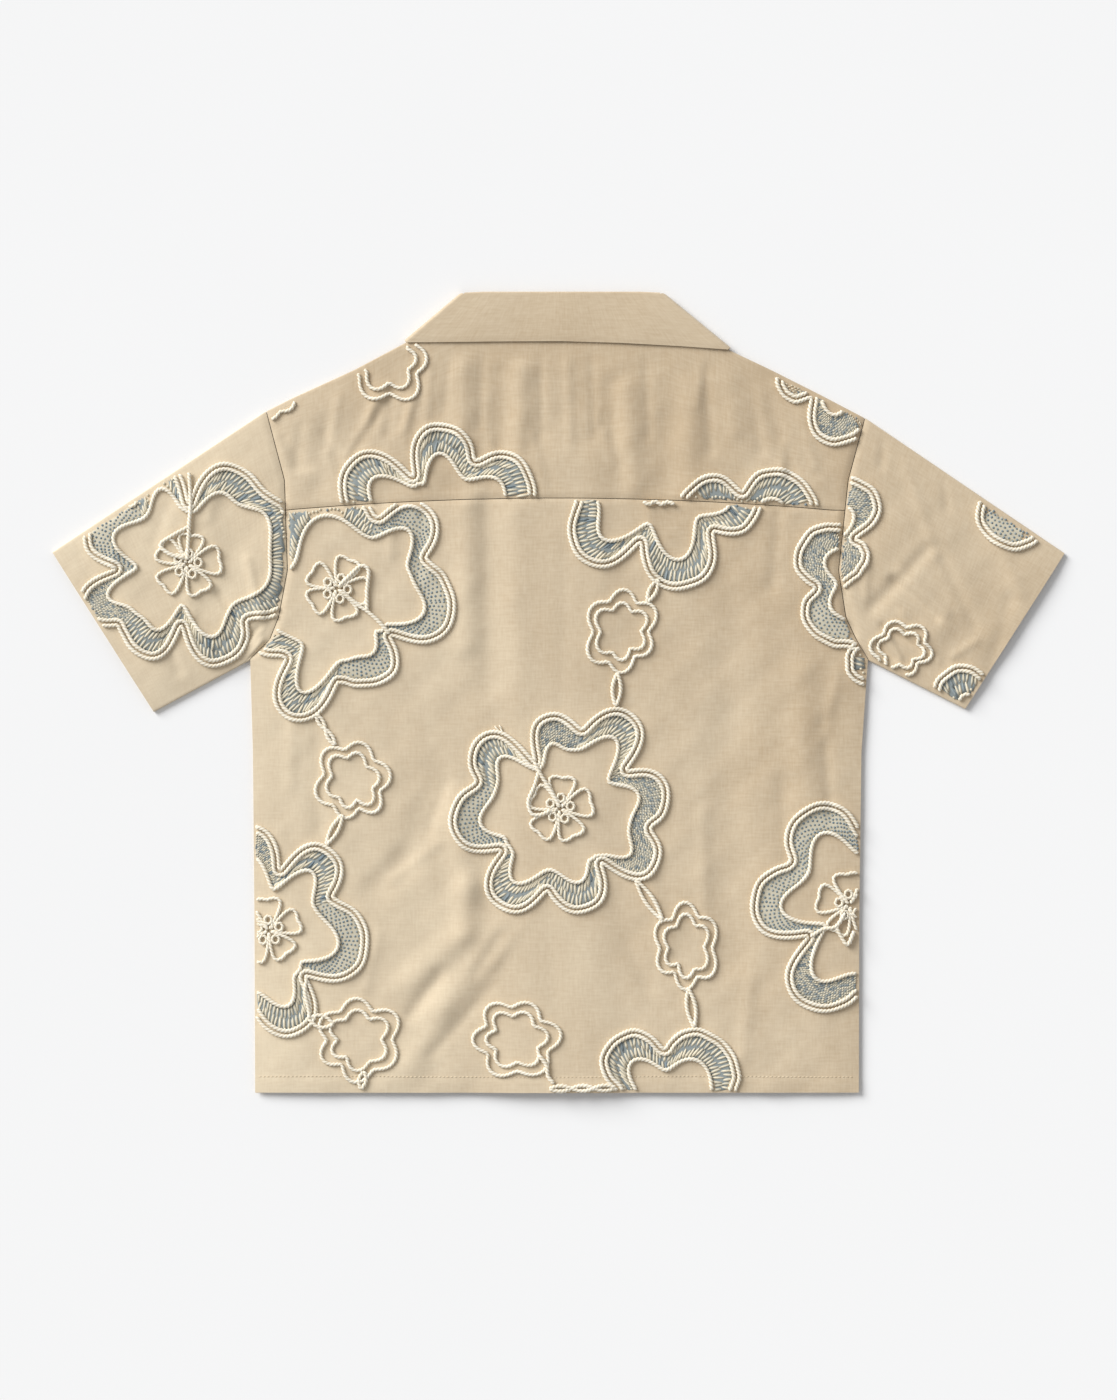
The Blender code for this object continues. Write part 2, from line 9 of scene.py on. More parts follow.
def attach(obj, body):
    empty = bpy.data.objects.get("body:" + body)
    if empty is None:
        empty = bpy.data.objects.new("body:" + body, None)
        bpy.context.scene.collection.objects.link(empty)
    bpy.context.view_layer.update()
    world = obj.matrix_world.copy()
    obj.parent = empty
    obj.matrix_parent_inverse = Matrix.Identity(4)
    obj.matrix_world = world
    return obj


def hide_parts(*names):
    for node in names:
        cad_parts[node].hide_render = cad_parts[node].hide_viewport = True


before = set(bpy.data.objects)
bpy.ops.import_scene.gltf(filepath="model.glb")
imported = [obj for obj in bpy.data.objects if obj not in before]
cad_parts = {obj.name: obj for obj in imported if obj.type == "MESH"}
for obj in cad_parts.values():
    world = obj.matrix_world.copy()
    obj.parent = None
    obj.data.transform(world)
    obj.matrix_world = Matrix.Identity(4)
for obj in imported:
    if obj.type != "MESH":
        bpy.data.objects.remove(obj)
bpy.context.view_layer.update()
print("frame loaded:", len(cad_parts), "nodes")

# Lengths below are in millimetres, in the frame of the CAD model, and become metres in the meshes.
mm = 0.001

# pixelSize in mm; zeroY is the pixel row at y = 0
photo = {"pixelSize": 0.6633, "height": 1400, "zeroY": 692.5}

cloth = {
    "shell": 0.6,          # thickness of the thin shells
    "foldHeight": 2.9,
    "foldBulge": 0.8,
    "float": 2.3,          # how much higher the upper layer lies away from its edges
    "edgeRound": 13.0,
    "hemY": -265.5,
    "hemDroop": 0.9,
    "hemDroopReach": 8.0,
    "hemDepth": 10.6,
    "seamY": 121.0,
    "seamRise": 8.0,
    "seamHalf": 182.0,
    "neckLeft": -68.0,
    "neckRight": 72.0,
    "neckLift": 1.5,
    "stripLift": 2.3,
    "stripTop": 3.8,
    "lap": 12.5,
    "foldForce": 1.22,
    "creaseForce": 1.5,
    "softness": 0.35,      # of the change to the layers beneath
    "creaseShow": 0.35,    # share of a crease that still shows over them
    "seamDip": 0.75,
    "seamDipWidth": 1.5,
    "armholeDip": 1.1,
    "armholeDipWidth": 1.9,
    "underarmY": 22,
    "openingFoot": 150.0,
    "frontDrop": 12.0,
}

# y, left x, right x
bodyEdges = np.array([
    (-265.5, -201.3, 199.3), (-150.0, -201.8, 199.6), (-40.0, -202.8, 201.0), (22.0, -204.6, 205.3),
    (35.0, -191.5, 197.5), (50.0, -185.5, 190.5), (81.0, -179.6, 185.6), (141.0, -181.6, 192.0),
    (186.0, -193.6, 204.2),
])
# x, y
ridgeLine = np.array([
    (-193.6, 186.0), (-174.7, 195.5), (-135.0, 213.5), (-102.0, 231.0), (-68.0, 248.0), (-30.0, 241.5),
    (2.0, 240.0), (34.0, 241.5), (72.0, 247.0), (114.0, 226.0), (141.6, 213.0), (171.5, 198.0),
    (203.0, 181.5),
])
# shoulder point, underarm, upper cuff corner, lower cuff corner
sleeveCorners = {
    -1: ((-194.3, 186.0), (-205.0, 22.0), (-335.6, 92.5), (-269.0, -12.3)),
    1: ((203.6, 181.5), (206.0, 22.0), (335.6, 91.9), (270.3, -10.3)),
}

# Long soft folds of the upper layer: x0, y0, x1, y1, width, height
folds = [
    (-63, 221, -64, 167, 7.0, 1.2), (-24, 214, -26, 148, 7.0, 1.3), (46, 201, 50, 138, 8.0, 1.2),
    (88, 204, 87, 141, 8.0, 1.1), (114, 217, 117, 174, 7.0, 0.8), (-155, 177, -158, 138, 8.0, -0.8),
    (-130, 204, -137, 164, 8.0, -0.8), (-38, 211, -39, 158, 6.0, -0.7), (35, 204, 35, 131, 6.0, -0.7),
    (72, 181, 70, 138, 7.0, -0.7), (-60, 124, -61, 32, 9.0, 1.4), (-28, 118, -26, -8, 9.0, 1.2),
    (-45, 124, -44, 5, 7.0, -0.7), (162, 12, 164, -71, 10.0, 1.1), (112, -25, 114, -177, 14.0, -0.9),
    (-79, -55, -103, -111, 9.0, -0.8), (-103, -111, -122, -128, 9.0, -0.8), (-71, -73, -60, -128, 9.0, 1.4),
    (-60, -128, -63, -160, 9.0, 1.4), (-63, -160, -98, -193, 9.0, 1.2), (-38, -160, -76, -209, 10.0, 1.2),
    (-76, -209, -98, -249, 10.0, 1.0), (-215, 115, -220, 62, 14.0, -0.8), (-280, 45, -262, 12, 12.0, 0.9),
    (270, 124, 290, 62, 12.0, -0.8), (214, 92, 253, 45, 12.0, 0.9),
]
# Finer creases: x0, y0, x1, y1, width, height
creases = [
    (-109, 202, -135, 160, 3.2, -0.7), (-113, 205, -140, 158, 3.0, 0.55), (-96, 193, -104, 172, 2.6, 0.55),
    (-155, 172, -141, 142, 3.4, -0.6), (-17, 170, -9, 132, 3.0, 0.5), (-12, 172, -4, 136, 3.0, -0.4),
    (29, 182, 35, 150, 2.8, 0.5), (34, 182, 40, 150, 2.4, -0.4), (-187, 176, -171, 150, 4.0, -0.5),
    (96, 226, 92, 190, 2.8, 0.4), (-45, 168, -40, 134, 2.8, 0.4), (150, 165, 146, 130, 3.0, 0.45),
    (-171, 176, -174, 150, 3.5, -0.5), (-111, 214, -113, 172, 3.2, -0.55), (-85, 222, -89, 150, 3.4, 0.5),
    (-72, 226, -76, 186, 2.6, -0.35), (-50, 226, -52, 176, 2.8, -0.45), (-12, 228, -11, 180, 2.6, -0.4),
    (6, 226, 8, 160, 3.2, 0.4), (22, 226, 24, 168, 2.6, -0.4), (29, 184, 30, 176, 1.4, -0.8),
    (58, 222, 60, 170, 3.0, -0.4), (98, 214, 101, 160, 3.2, -0.5), (128, 205, 134, 160, 3.6, -0.45),
    (140, 194, 154, 148, 4.6, -0.5), (160, 190, 170, 150, 3.4, 0.35), (-146, 196, -152, 160, 3.0, 0.5),
    (-121, 205, -127, 172, 2.6, 0.45), (-182, 168, -166, 150, 3.0, -0.4), (-98, 206, -101, 166, 2.6, 0.4),
    (5, 104, 2, -20, 5.0, -0.6), (114, 61, 114, -10, 13.0, -0.6), (60, 118, 62, 74, 4.0, 0.4),
    (-90, 118, -93, 78, 4.0, -0.5), (-112, 122, -111, 92, 3.5, 0.4), (30, 124, 27, 70, 4.0, 0.45),
    (146, 118, 142, 70, 4.5, -0.4), (-38, -160, -55, -186, 3.6, -0.5), (-79, -187, -98, -214, 4.6, -0.7),
    (-44, -196, -84, -240, 4.0, -0.5), (-74, -60, -86, -92, 3.8, -0.5), (-80, -100, -110, -124, 3.6, 0.45),
    (-20, -150, -42, -180, 3.6, 0.4), (36, -150, 60, -196, 5.0, -0.45), (60, -120, 74, -170, 5.0, 0.4),
    (148, -60, 152, -110, 5.5, -0.5), (96, -80, 97, -160, 5.0, 0.4), (128, -190, 122, -240, 5.0, 0.4),
    (-160, -20, -158, -90, 6.0, -0.45), (-176, 10, -178, -60, 4.5, 0.4), (-178, -96, -160, -120, 5.0, -0.4),
    (-6, -150, -2, -210, 5.5, -0.45), (14, -190, 17, -248, 5.0, 0.35), (-120, -160, -128, -196, 4.2, 0.35),
    (176, -20, 181, -84, 4.0, -0.5), (186, 14, 176, -30, 3.8, 0.4), (-196, 30, -186, 66, 3.2, -0.6),
    (-204, 36, -226, 66, 2.6, -0.8), (-211, 30, -240, 48, 2.4, -0.6), (-197, 48, -206, 88, 3.0, 0.6),
    (-252, 14, -262, 36, 4.0, -0.6), (-232, 24, -246, 62, 4.0, 0.5), (-300, 60, -318, 92, 4.0, -0.4),
    (-226, 150, -232, 116, 4.0, 0.5), (-258, 128, -268, 100, 3.6, -0.4), (-290, 108, -296, 84, 3.4, 0.35),
    (208, 56, 246, 96, 4.4, -0.7), (215, 44, 240, 30, 2.4, -1.0), (213, 30, 222, 22, 2.6, -1.2),
    (228, 52, 252, 22, 3.0, 0.6), (216, 168, 214, 150, 2.6, -0.6), (256, 141, 258, 122, 2.8, -0.5),
    (230, 152, 250, 92, 4.0, 0.4), (288, 110, 306, 66, 4.5, 0.45), (252, 96, 276, 44, 4.0, -0.45),
    (300, 62, 286, 14, 5.0, -0.4), (196, 40, 188, 76, 3.0, -0.55), (204, 64, 202, 104, 3.0, 0.4),
    (-212, 28, -203, 40, 1.9, -1.2), (-207, 22, -197, 34, 1.9, 0.9), (-214, 22, -228, 27, 2.4, -0.9),
    (-200, 42, -192, 53, 2.2, -0.7), (212, 33, 219, 21, 1.9, -1.3), (219, 35, 227, 23, 2.1, 1.0),
    (222, 74, 250, 50, 3.4, -0.9), (227, 80, 257, 53, 4.0, 0.7), (246, 28, 268, 17, 3.0, -0.6),
    (262, 24, 277, 34, 2.8, 0.5),
]
# Slow unevenness of the whole cloth: wave length along x and y, phase, height
swells = [
    (61, 83, 0.4, 0.16), (37, -52, 1.9, 0.10), (-44, 29, 3.1, 0.07), (23, 71, 5.2, 0.06),
    (17, -19, 2.2, 0.03), (29, 13, 4.4, 0.03),
]


def alongTable(table, at, column=1):
    order = np.argsort(table[:, 0])
    return np.interp(at, table[order, 0], table[order, column])


def smooth(value, start, end):
    share = np.clip((value - start) / (end - start), 0, 1)
    return share * share * (3 - 2 * share)


def fromSegment(x, y, x0, y0, x1, y1):
    dx, dy = x1 - x0, y1 - y0
    share = np.clip(((x - x0) * dx + (y - y0) * dy) / (dx * dx + dy * dy), 0, 1)
    return np.hypot(x - x0 - share * dx, y - y0 - share * dy)


def yokeSeam(x):
    return cloth["seamY"] + cloth["seamRise"] * (1 - np.minimum(1, (x / cloth["seamHalf"]) ** 2))


def foldedEdges():
    edges = []
    for side, (shoulder, underarm, cuffTop, cuffLow) in sleeveCorners.items():
        corner = (bodyEdges[0][1 if side < 0 else 2], cloth["hemY"])
        ridge = [p for p in ridgeLine if abs(p[0]) >= 68 and p[0] * side > 0]
        edges += [(*a, *b) for a, b in zip(ridge, ridge[1:])]
        edges += [(*shoulder, *cuffTop), (*cuffLow, *underarm), (*underarm, *corner)]
    return edges


edges = foldedEdges()


def neckLift(x, y):
    return cloth["neckLift"] * smooth(y, 96, 122) * (1 - smooth(np.abs(x), 128, 158))


def clothHeight(x, y):
    # Outer surface of the upper layer, with its folds, creases and swells.
    x, y = np.asarray(x, float), np.asarray(y, float)
    edge = np.min([fromSegment(x, y, *segment) for segment in edges], axis=0)
    rise = 1 - np.exp(-edge / cloth["edgeRound"])
    lap = 1 - smooth(np.abs(x), 18, 70)
    foot = cloth["openingFoot"]
    least = cloth["foldHeight"] + np.maximum(
        neckLift(x, y), (cloth["stripTop"] + 0.3) * lap * (1 - smooth(y, foot, foot + 40)))
    shape = np.zeros_like(x)
    for group, force in ((folds, cloth["foldForce"]), (creases, cloth["creaseForce"])):
        for x0, y0, x1, y1, width, height in group:
            shape += force * height * np.exp(-((fromSegment(x, y, x0, y0, x1, y1) / width) ** 2))
    for waveX, waveY, phase, height in swells:
        shape += height * np.sin(2 * pi * (x / waveX + y / waveY) + phase)
    droop = cloth["hemDroop"] * np.exp(-(y - cloth["hemY"]) / cloth["hemDroopReach"])
    collarOver = smooth(y, 214, 232) * (1 - smooth(np.abs(x), 100, 125))
    free = cloth["foldHeight"] + (cloth["float"] + shape - droop) * rise
    level = free * (1 - collarOver) + least * collarOver
    # a soft maximum keeps the creases alive over the layers beneath
    soft = cloth["softness"]
    over = least + soft * np.logaddexp(0, (level - least) / soft)
    return over + shape * cloth["creaseShow"] * rise * (1 - collarOver)


def armhole(y, side):
    return alongTable(bodyEdges, y, 1 if side < 0 else 2)


def seamDip(x, y):
    # The cloth sinks where the pieces are sewn to each other.
    dip = cloth["seamDip"] * np.exp(-((y - yokeSeam(x)) / cloth["seamDipWidth"]) ** 2) * (np.abs(x) < 186)
    above = y > cloth["underarmY"]
    for side in (-1, 1):
        across = (x - armhole(y, side)) * above
        dip = dip + cloth["armholeDip"] * np.exp(-((across / cloth["armholeDipWidth"]) ** 2)) * above
    return dip


def surface(x, y):
    return clothHeight(x, y) - seamDip(np.asarray(x, float), np.asarray(y, float))


# Small wrapper for shader sockets, so that maths is written as expressions
class Socket:
    def __init__(self, maker, link):
        self.maker, self.link = maker, link

    def maths(self, operation, other, flip=False):
        values = [other, self] if flip else [self, other]
        return self.maker.node("ShaderNodeMath", {"operation": operation}, {0: values[0], 1: values[1]})

    def __add__(self, other):
        return self.maths("ADD", other)

    def __radd__(self, other):
        return self.maths("ADD", other, True)

    def __sub__(self, other):
        return self.maths("SUBTRACT", other)

    def __rsub__(self, other):
        return self.maths("SUBTRACT", other, True)

    def __mul__(self, other):
        return self.maths("MULTIPLY", other)

    def __rmul__(self, other):
        return self.maths("MULTIPLY", other, True)

    def __truediv__(self, other):
        return self.maths("DIVIDE", other)

    def __pow__(self, other):
        return self.maths("POWER", other)


class Finish:
    def __init__(self, name):
        self.material = bpy.data.materials.new(name)
        self.material.use_nodes = True
        self.tree = self.material.node_tree
        self.shader = self.tree.nodes["Principled BSDF"]

    def node(self, kind, settings=None, values=None, output=0):
        made = self.tree.nodes.new(kind)
        for name, value in (settings or {}).items():
            if name == "stops":
                ramp = made.color_ramp
                while len(ramp.elements) < len(value):
                    ramp.elements.new(0.5)
                for element, (place, colour) in zip(ramp.elements, value):
                    element.position = place
                    element.color = (*colour, 1)
            else:
                setattr(made, name, value)
        for key, value in (values or {}).items():
            self.put(made.inputs[key], value)
        return Socket(self, made.outputs[output])

    def put(self, socket, value):
        if isinstance(value, Socket):
            self.tree.links.new(value.link, socket)
        else:
            socket.default_value = value

    def mixColour(self, share, a, b, blend="MIX"):
        return self.node("ShaderNodeMix", {"data_type": "RGBA", "blend_type": blend},
                         {0: share, 6: a, 7: b}, output=2)

    def stretched(self, source, scale, detail=2.0, rough=0.5):
        place = self.node("ShaderNodeMapping", None, {"Vector": source, "Scale": scale})
        return self.node("ShaderNodeTexNoise", None,
                         {"Vector": place, "Scale": 1.0, "Detail": detail, "Roughness": rough})

    def attribute(self, name):
        return self.node("ShaderNodeAttribute", {"attribute_name": name}, output=2)

    def ownUv(self):
        return self.node("ShaderNodeTexCoord", output=2)      # the piece's own UV, in metres

    def ownPlace(self):
        return self.node("ShaderNodeTexCoord", output=3)

    def ramp(self, share, *stops):
        return self.node("ShaderNodeValToRGB", {"stops": stops}, {0: share})

    def bump(self, strength, distance, height):
        return self.node("ShaderNodeBump", None,
                         {"Strength": strength, "Distance": distance, "Height": height})

    def set(self, **values):
        names = {
            "colour": "Base Color", "roughness": "Roughness", "normal": "Normal", "sheen": "Sheen Weight",
            "sheenRoughness": "Sheen Roughness", "specular": "Specular IOR Level",
        }
        for name, value in values.items():
            self.put(self.shader.inputs[names[name]], value)
        return self.material


def linear(r, g, b):
    # colour of the screen as the renderer's linear one
    shares = [c / 255 for c in (r, g, b)]
    return tuple(c / 12.92 if c <= 10 / 255 else ((c + 0.055) / 1.055) ** 2.4 for c in shares)


cottonLook = {
    "base": linear(207, 189, 161), "pale": linear(222, 206, 178), "dark": linear(190, 169, 139),
    "thread": 1.15 * mm,   # pitch of the threads that show
}


def makeCotton():
    finish = Finish("khakiCotton")
    place = finish.ownUv()
    # tone is painted shade and light of each piece, added to the cloth's colour below
    tone = finish.attribute("tone")
    pitch = 1 / cottonLook["thread"]
    # warp and weft as two fields of long thin slubs
    warp = finish.stretched(place, (pitch * 1.0, pitch * 0.16, 1), 2.0)
    weft = finish.stretched(place, (pitch * 0.13, pitch * 0.9, 1), 2.0)
    slub = finish.stretched(place, (24.0, 420.0, 1), 3.0, 0.6)
    slubUp = finish.stretched(place, (460.0, 20.0, 1), 3.0, 0.6)
    cloud = finish.stretched(place, (14.0, 11.0, 1), 3.0, 0.55)
    weave = (warp + weft) * 0.5
    nubs = finish.stretched(place, (130.0, 520.0, 1), 1.0) ** 9.0
    shade = ((weave - 0.5) * 0.8 + (slub - 0.5) * 0.18 + (slubUp - 0.5) * 0.22 + (cloud - 0.5) * 0.7
             + nubs * 0.6 + tone + 0.5)
    colour = finish.ramp(shade, (0.12, cottonLook["dark"]), (0.5, cottonLook["base"]),
                         (0.9, cottonLook["pale"]))
    bump = finish.bump(0.25, 0.0003, weave + slub * 0.25 + slubUp * 0.25 + nubs)
    return finish.set(colour=colour, roughness=0.9, normal=bump, sheen=0.25, sheenRoughness=0.6,
                      specular=0.2)


cotton = makeCotton()
print("cotton ready")


# Cloth pieces


def deselect():
    bpy.ops.object.select_all(action="DESELECT")


def smoothShaded(obj, degrees):
    deselect()
    obj.select_set(True)
    bpy.context.view_layer.objects.active = obj
    bpy.ops.object.shade_smooth_by_angle(angle=radians(degrees))


def setAttributes(mesh, flat, name, values):
    # own UV in metres and one value for each point, for the looks
    corner = np.empty(len(mesh.loops), np.int32)
    mesh.loops.foreach_get("vertex_index", corner)
    layer = mesh.uv_layers[0] if mesh.uv_layers else mesh.uv_layers.new(name="UVMap")
    layer.data.foreach_set("uv", flat[corner].ravel())
    attribute = mesh.attributes.new(name, "FLOAT", "POINT")
    attribute.data.foreach_set("value", values)


def lengthsAlong(points):
    # length from the first point to each one
    return np.cumsum(np.r_[0, np.linalg.norm(np.diff(points, axis=0), axis=1)])


def gridObject(name, columns, rows):
    deselect()
    bpy.ops.mesh.primitive_grid_add(x_subdivisions=columns, y_subdivisions=rows, size=1, location=(0, 0, 0))
    obj = bpy.context.active_object
    obj.name = obj.data.name = name
    return obj


# painted shade and light: shift of the tone of each piece, and its slope along x and y per metre; they
# darken the collar, the right-hand parts and the upper back and yoke, and lighten the left sleeve
paintedShadeTones = {
    "backCloth": (-0.05, -1.1, -0.4), "yokeCloth": (-0.03, -0.5, -1.0), "collarCloth": (-0.14, -0.2, 0.0),
    "sleeveLeftCloth": (0.1, -0.4, 0.0), "sleeveRightCloth": (0.0, -0.5, 0.0),
}


def layCloth(name, points, patch, keep=None, thickness=cloth["shell"]):
    # points: rows x columns x 3 in mm, on the outer side; patch: the cloth's own u, v in mm;
    # keep: whether the face at a row and column stays
    rows, columns = points.shape[0] - 1, points.shape[1] - 1
    obj = gridObject(name, columns, rows)
    mesh = obj.data
    mesh.vertices.foreach_set("co", (points.reshape(-1, 3) * mm).ravel())
    # painted shade and light: the piece's shift and slopes go into its tone attribute
    level, shadeSlopeX, shadeSlopeY = paintedShadeTones.get(name, (0, 0, 0))
    place = points.reshape(-1, 3) * mm
    tone = level + shadeSlopeX * place[:, 0] + shadeSlopeY * place[:, 1]
    setAttributes(mesh, patch.reshape(-1, 2) * mm, "tone", tone)
    bm = bmesh.new()
    bm.from_mesh(mesh)
    bm.verts.ensure_lookup_table()
    if keep is not None:
        # the first row and column of a face tell which one it is
        places = [[divmod(v.index, columns + 1) for v in f.verts] for f in bm.faces]
        extra = [f for f, corners in zip(bm.faces, places) if not keep(*np.min(corners, axis=0))]
        bmesh.ops.delete(bm, geom=extra, context="FACES")
    bmesh.ops.remove_doubles(bm, verts=bm.verts, dist=1e-6)
    bm.to_mesh(mesh)
    bm.free()
    mesh.update()
    solid = obj.modifiers.new("shell", "SOLIDIFY")
    solid.thickness = thickness * mm
    solid.offset = -1
    solid.use_even_offset = False
    bpy.context.view_layer.objects.active = obj
    bpy.ops.object.modifier_apply(modifier="shell")
    smoothShaded(obj, 55)
    obj.data.materials.clear()
    obj.data.materials.append(cotton)
    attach(obj, "root")
    return obj


def sided(side, word, suffix=""):
    # the wearer's left is at -x
    return word + ("Left" if side < 0 else "Right") + suffix


def steps(*stops):
    # values with a given number of steps between stops: start, (end, count), (end, count)...
    values = [stops[0]]
    for end, count in stops[1:]:
        values += list(np.linspace(values[-1], end, count + 1)[1:])
    return np.array(values)


backSizes = {
    "columns": 168, "cut": (0.412, 0.395), "area": 0.157, "sideSpread": 0.25,
    "hemRidge": 0.35, "stitchDent": 0.3, "dentWidth": 0.9,
}


def makeBack():
    levels = steps(cloth["hemY"], (cloth["hemY"] + 3, 4), (20, 112), (22, 2), (50, 14), (120.7, 34))
    share = np.linspace(0, 1, backSizes["columns"] + 1)
    finer = backSizes["sideSpread"]      # columns lie a little closer at the sides
    share = 0.5 - 0.5 * np.cos(pi * share) * finer - (1 - finer) * (0.5 - share)
    share = (share - share[0]) / (share[-1] - share[0])
    level, across = np.meshgrid(levels, share, indexing="ij")
    left, right = alongTable(bodyEdges, level, 1), alongTable(bodyEdges, level, 2)
    x = left + (right - left) * across
    y = level + smooth(level, 50, 120.7) * (yokeSeam(x) - cloth["seamY"])
    hem, depth = cloth["hemY"], cloth["hemDepth"]
    ridge = backSizes["hemRidge"] * (1 - smooth(y, hem + depth - 0.6, hem + depth + 1.6))
    stitch = -backSizes["stitchDent"] * np.exp(-((y - hem - depth) / backSizes["dentWidth"]) ** 2)
    z = surface(x, y) + ridge + stitch
    obj = layCloth("backCloth", np.dstack((x, y, z)), np.dstack((x, y)))
    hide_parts("back_panel")


yokeSizes = {
    "rows": 46, "turn": 6, "under": 5, "shoulderColumns": 54, "neckColumns": 60,
    "cut": (0.42, 0.14), "area": 0.045, "seamRidge": 0.25, "seamRidgeWidth": 4.0,
}


def tucked(x):
    # where a point of the ridge lies once the yoke is folded down to the front seam
    left = x < 0
    end = np.where(left, ridgeLine[0][1], ridgeLine[-1][1])
    folded = end - cloth["frontDrop"]
    low = np.where(left, armhole(folded, -1), armhole(folded, 1))
    high = np.where(left, armhole(end, -1), armhole(end, 1))
    return x * low / high


def makeYoke():
    left, right = ridgeLine[0][0], ridgeLine[-1][0]
    shoulder, neck = yokeSizes["shoulderColumns"], yokeSizes["neckColumns"]
    tops = steps(left, (cloth["neckLeft"], shoulder), (cloth["neckRight"], neck), (right, shoulder))
    rows, turn, under = yokeSizes["rows"], yokeSizes["turn"], yokeSizes["under"]
    share = (tops - left) / (right - left)
    points = []
    for row in range(rows + 1):
        rise = row / rows
        lowLeft = cloth["seamY"] + (ridgeLine[0][1] - cloth["seamY"]) * rise
        lowRight = cloth["seamY"] + (ridgeLine[-1][1] - cloth["seamY"]) * rise
        edgeLeft, edgeRight = armhole(lowLeft, -1), armhole(lowRight, 1)
        x = edgeLeft + (edgeRight - edgeLeft) * share
        bottom = yokeSeam(x) + 0.15
        y = bottom + (alongTable(ridgeLine, tops) - bottom) * rise
        z = surface(x, y)
        z = z + yokeSizes["seamRidge"] * np.exp(-((y - bottom) / yokeSizes["seamRidgeWidth"]) ** 2)
        points.append(np.column_stack((x, y, z)))
    ridge = points[-1]
    lift = neckLift(ridge[:, 0], ridge[:, 1])
    for step in range(1, turn + 1):
        angle = pi * step / turn
        out = cloth["foldBulge"] * sin(angle)
        z = lift + (ridge[:, 2] - lift) * (0.5 + 0.5 * cos(angle))
        x = ridge[:, 0] + 0.45 * out * np.sign(ridge[:, 0])
        points.append(np.column_stack((x, ridge[:, 1] + 0.9 * out, z)))
    for step in range(1, under + 1):
        drop = step / under
        x = ridge[:, 0] + (tucked(ridge[:, 0]) - ridge[:, 0]) * drop
        points.append(np.column_stack((x, ridge[:, 1] - cloth["frontDrop"] * drop, lift)))
    points = np.array(points)
    folded = lengthsAlong(points[:, 20])
    patch = np.dstack((points[:, :, 0], np.repeat(folded[:, None], len(tops), axis=1) + cloth["seamY"]))

    def keep(row, column):
        # the neck has no turn over the ridge
        return row < rows or not shoulder <= column < shoulder + neck

    obj = layCloth("yokeCloth", points, patch, keep)
    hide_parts("back_yoke")


sleeveSizes = {"stations": 62, "upper": 76, "turn": 6, "lower": 24, "cut": (0.36, 0.17), "area": 0.036}


def sleevePlan(side, station, share):
    shoulder, underarm, cuffTop, cuffLow = sleeveCorners[side]
    y = shoulder[1] + (underarm[1] - shoulder[1]) * share
    x = armhole(y, side) + side * 0.5
    endX = cuffTop[0] + (cuffLow[0] - cuffTop[0]) * share
    endY = cuffTop[1] + (cuffLow[1] - cuffTop[1]) * share
    return x + (endX - x) * station, y + (endY - y) * station


def makeSleeve(side):
    shoulder, underarm, cuffTop, cuffLow = sleeveCorners[side]
    upper, turn, lower = sleeveSizes["upper"], sleeveSizes["turn"], sleeveSizes["lower"]
    stations = np.linspace(0, 1, sleeveSizes["stations"] + 1)
    shareUp = np.linspace(0, 1, upper + 1)
    station, share = np.meshgrid(stations, shareUp, indexing="ij")
    x, y = sleevePlan(side, station, share)
    z = surface(x, y)
    parts = [np.dstack((x, y, z))]
    top = np.array([cuffTop[0] - shoulder[0], cuffTop[1] - shoulder[1]])
    low = np.array([cuffLow[0] - underarm[0], cuffLow[1] - underarm[1]])
    top, low = top / np.linalg.norm(top), low / np.linalg.norm(low)
    outTop = np.array([-top[1], top[0]]) * np.sign(top[0])
    outLow = np.array([low[1], -low[0]]) * np.sign(low[0])

    def bend(base, out, rising):
        rows = []
        for step in range(1, turn):
            angle = pi * step / turn
            high = 0.5 - 0.5 * cos(angle) if rising else 0.5 + 0.5 * cos(angle)
            shift = cloth["foldBulge"] * 0.9 * sin(angle)
            x, y = base[:, 0] + out[0] * shift, base[:, 1] + out[1] * shift
            rows.append(np.column_stack((x, y, base[:, 2] * high)))
        return np.stack(rows, axis=1)

    parts.append(bend(parts[0][:, -1], outLow, False))
    shareLow = np.linspace(1, 0, lower + 1)
    station, share = np.meshgrid(stations, shareLow, indexing="ij")
    x, y = sleevePlan(side, station, share)
    parts.append(np.dstack((x, y, np.zeros_like(x))))
    parts.append(bend(parts[0][:, 0], outTop, True))
    parts.append(parts[0][:, :1])
    points = np.concatenate(parts, axis=1)
    ring = lengthsAlong(points[30])
    reach = np.hypot(cuffTop[0] - shoulder[0], cuffTop[1] - shoulder[1])
    patch = np.dstack(np.meshgrid(ring, stations * reach))
    if side > 0:
        points, patch = points[:, ::-1], patch[:, ::-1]
    obj = layCloth(sided(side, "sleeve", "Cloth"), points[:, ::-1], patch[:, ::-1])
    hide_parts(sided(side, "sleeve_").lower())


# Collar as a strip: fold x, fold y, free x, free y, level (1 on top, 0 at the turned edge, -1 underneath)
collarStrip = np.array([
    (-31.5, 201.5, -66.0, 187.0, -1), (-41.0, 220.0, -92.0, 182.0, -1), (-52.0, 241.0, -98.0, 207.0, -1),
    (-62.5, 262.5, -100.6, 231.6, -1), (-64.7, 265.5, -102.2, 233.9, 0), (-62.5, 264.9, -100.6, 232.2, 1),
    (-50.0, 265.5, -74.0, 232.4, 1), (-25.0, 265.5, -37.0, 232.8, 1), (2.0, 265.5, 2.0, 233.0, 1),
    (29.0, 265.5, 42.0, 231.8, 1), (54.0, 265.5, 82.0, 229.6, 1), (67.4, 264.9, 112.4, 227.4, 1),
    (69.6, 265.5, 114.2, 229.0, 0), (67.4, 262.5, 112.4, 226.4, -1), (55.0, 241.0, 104.0, 204.0, -1),
    (43.0, 220.0, 94.0, 180.0, -1), (33.0, 201.5, 68.0, 186.0, -1),
])
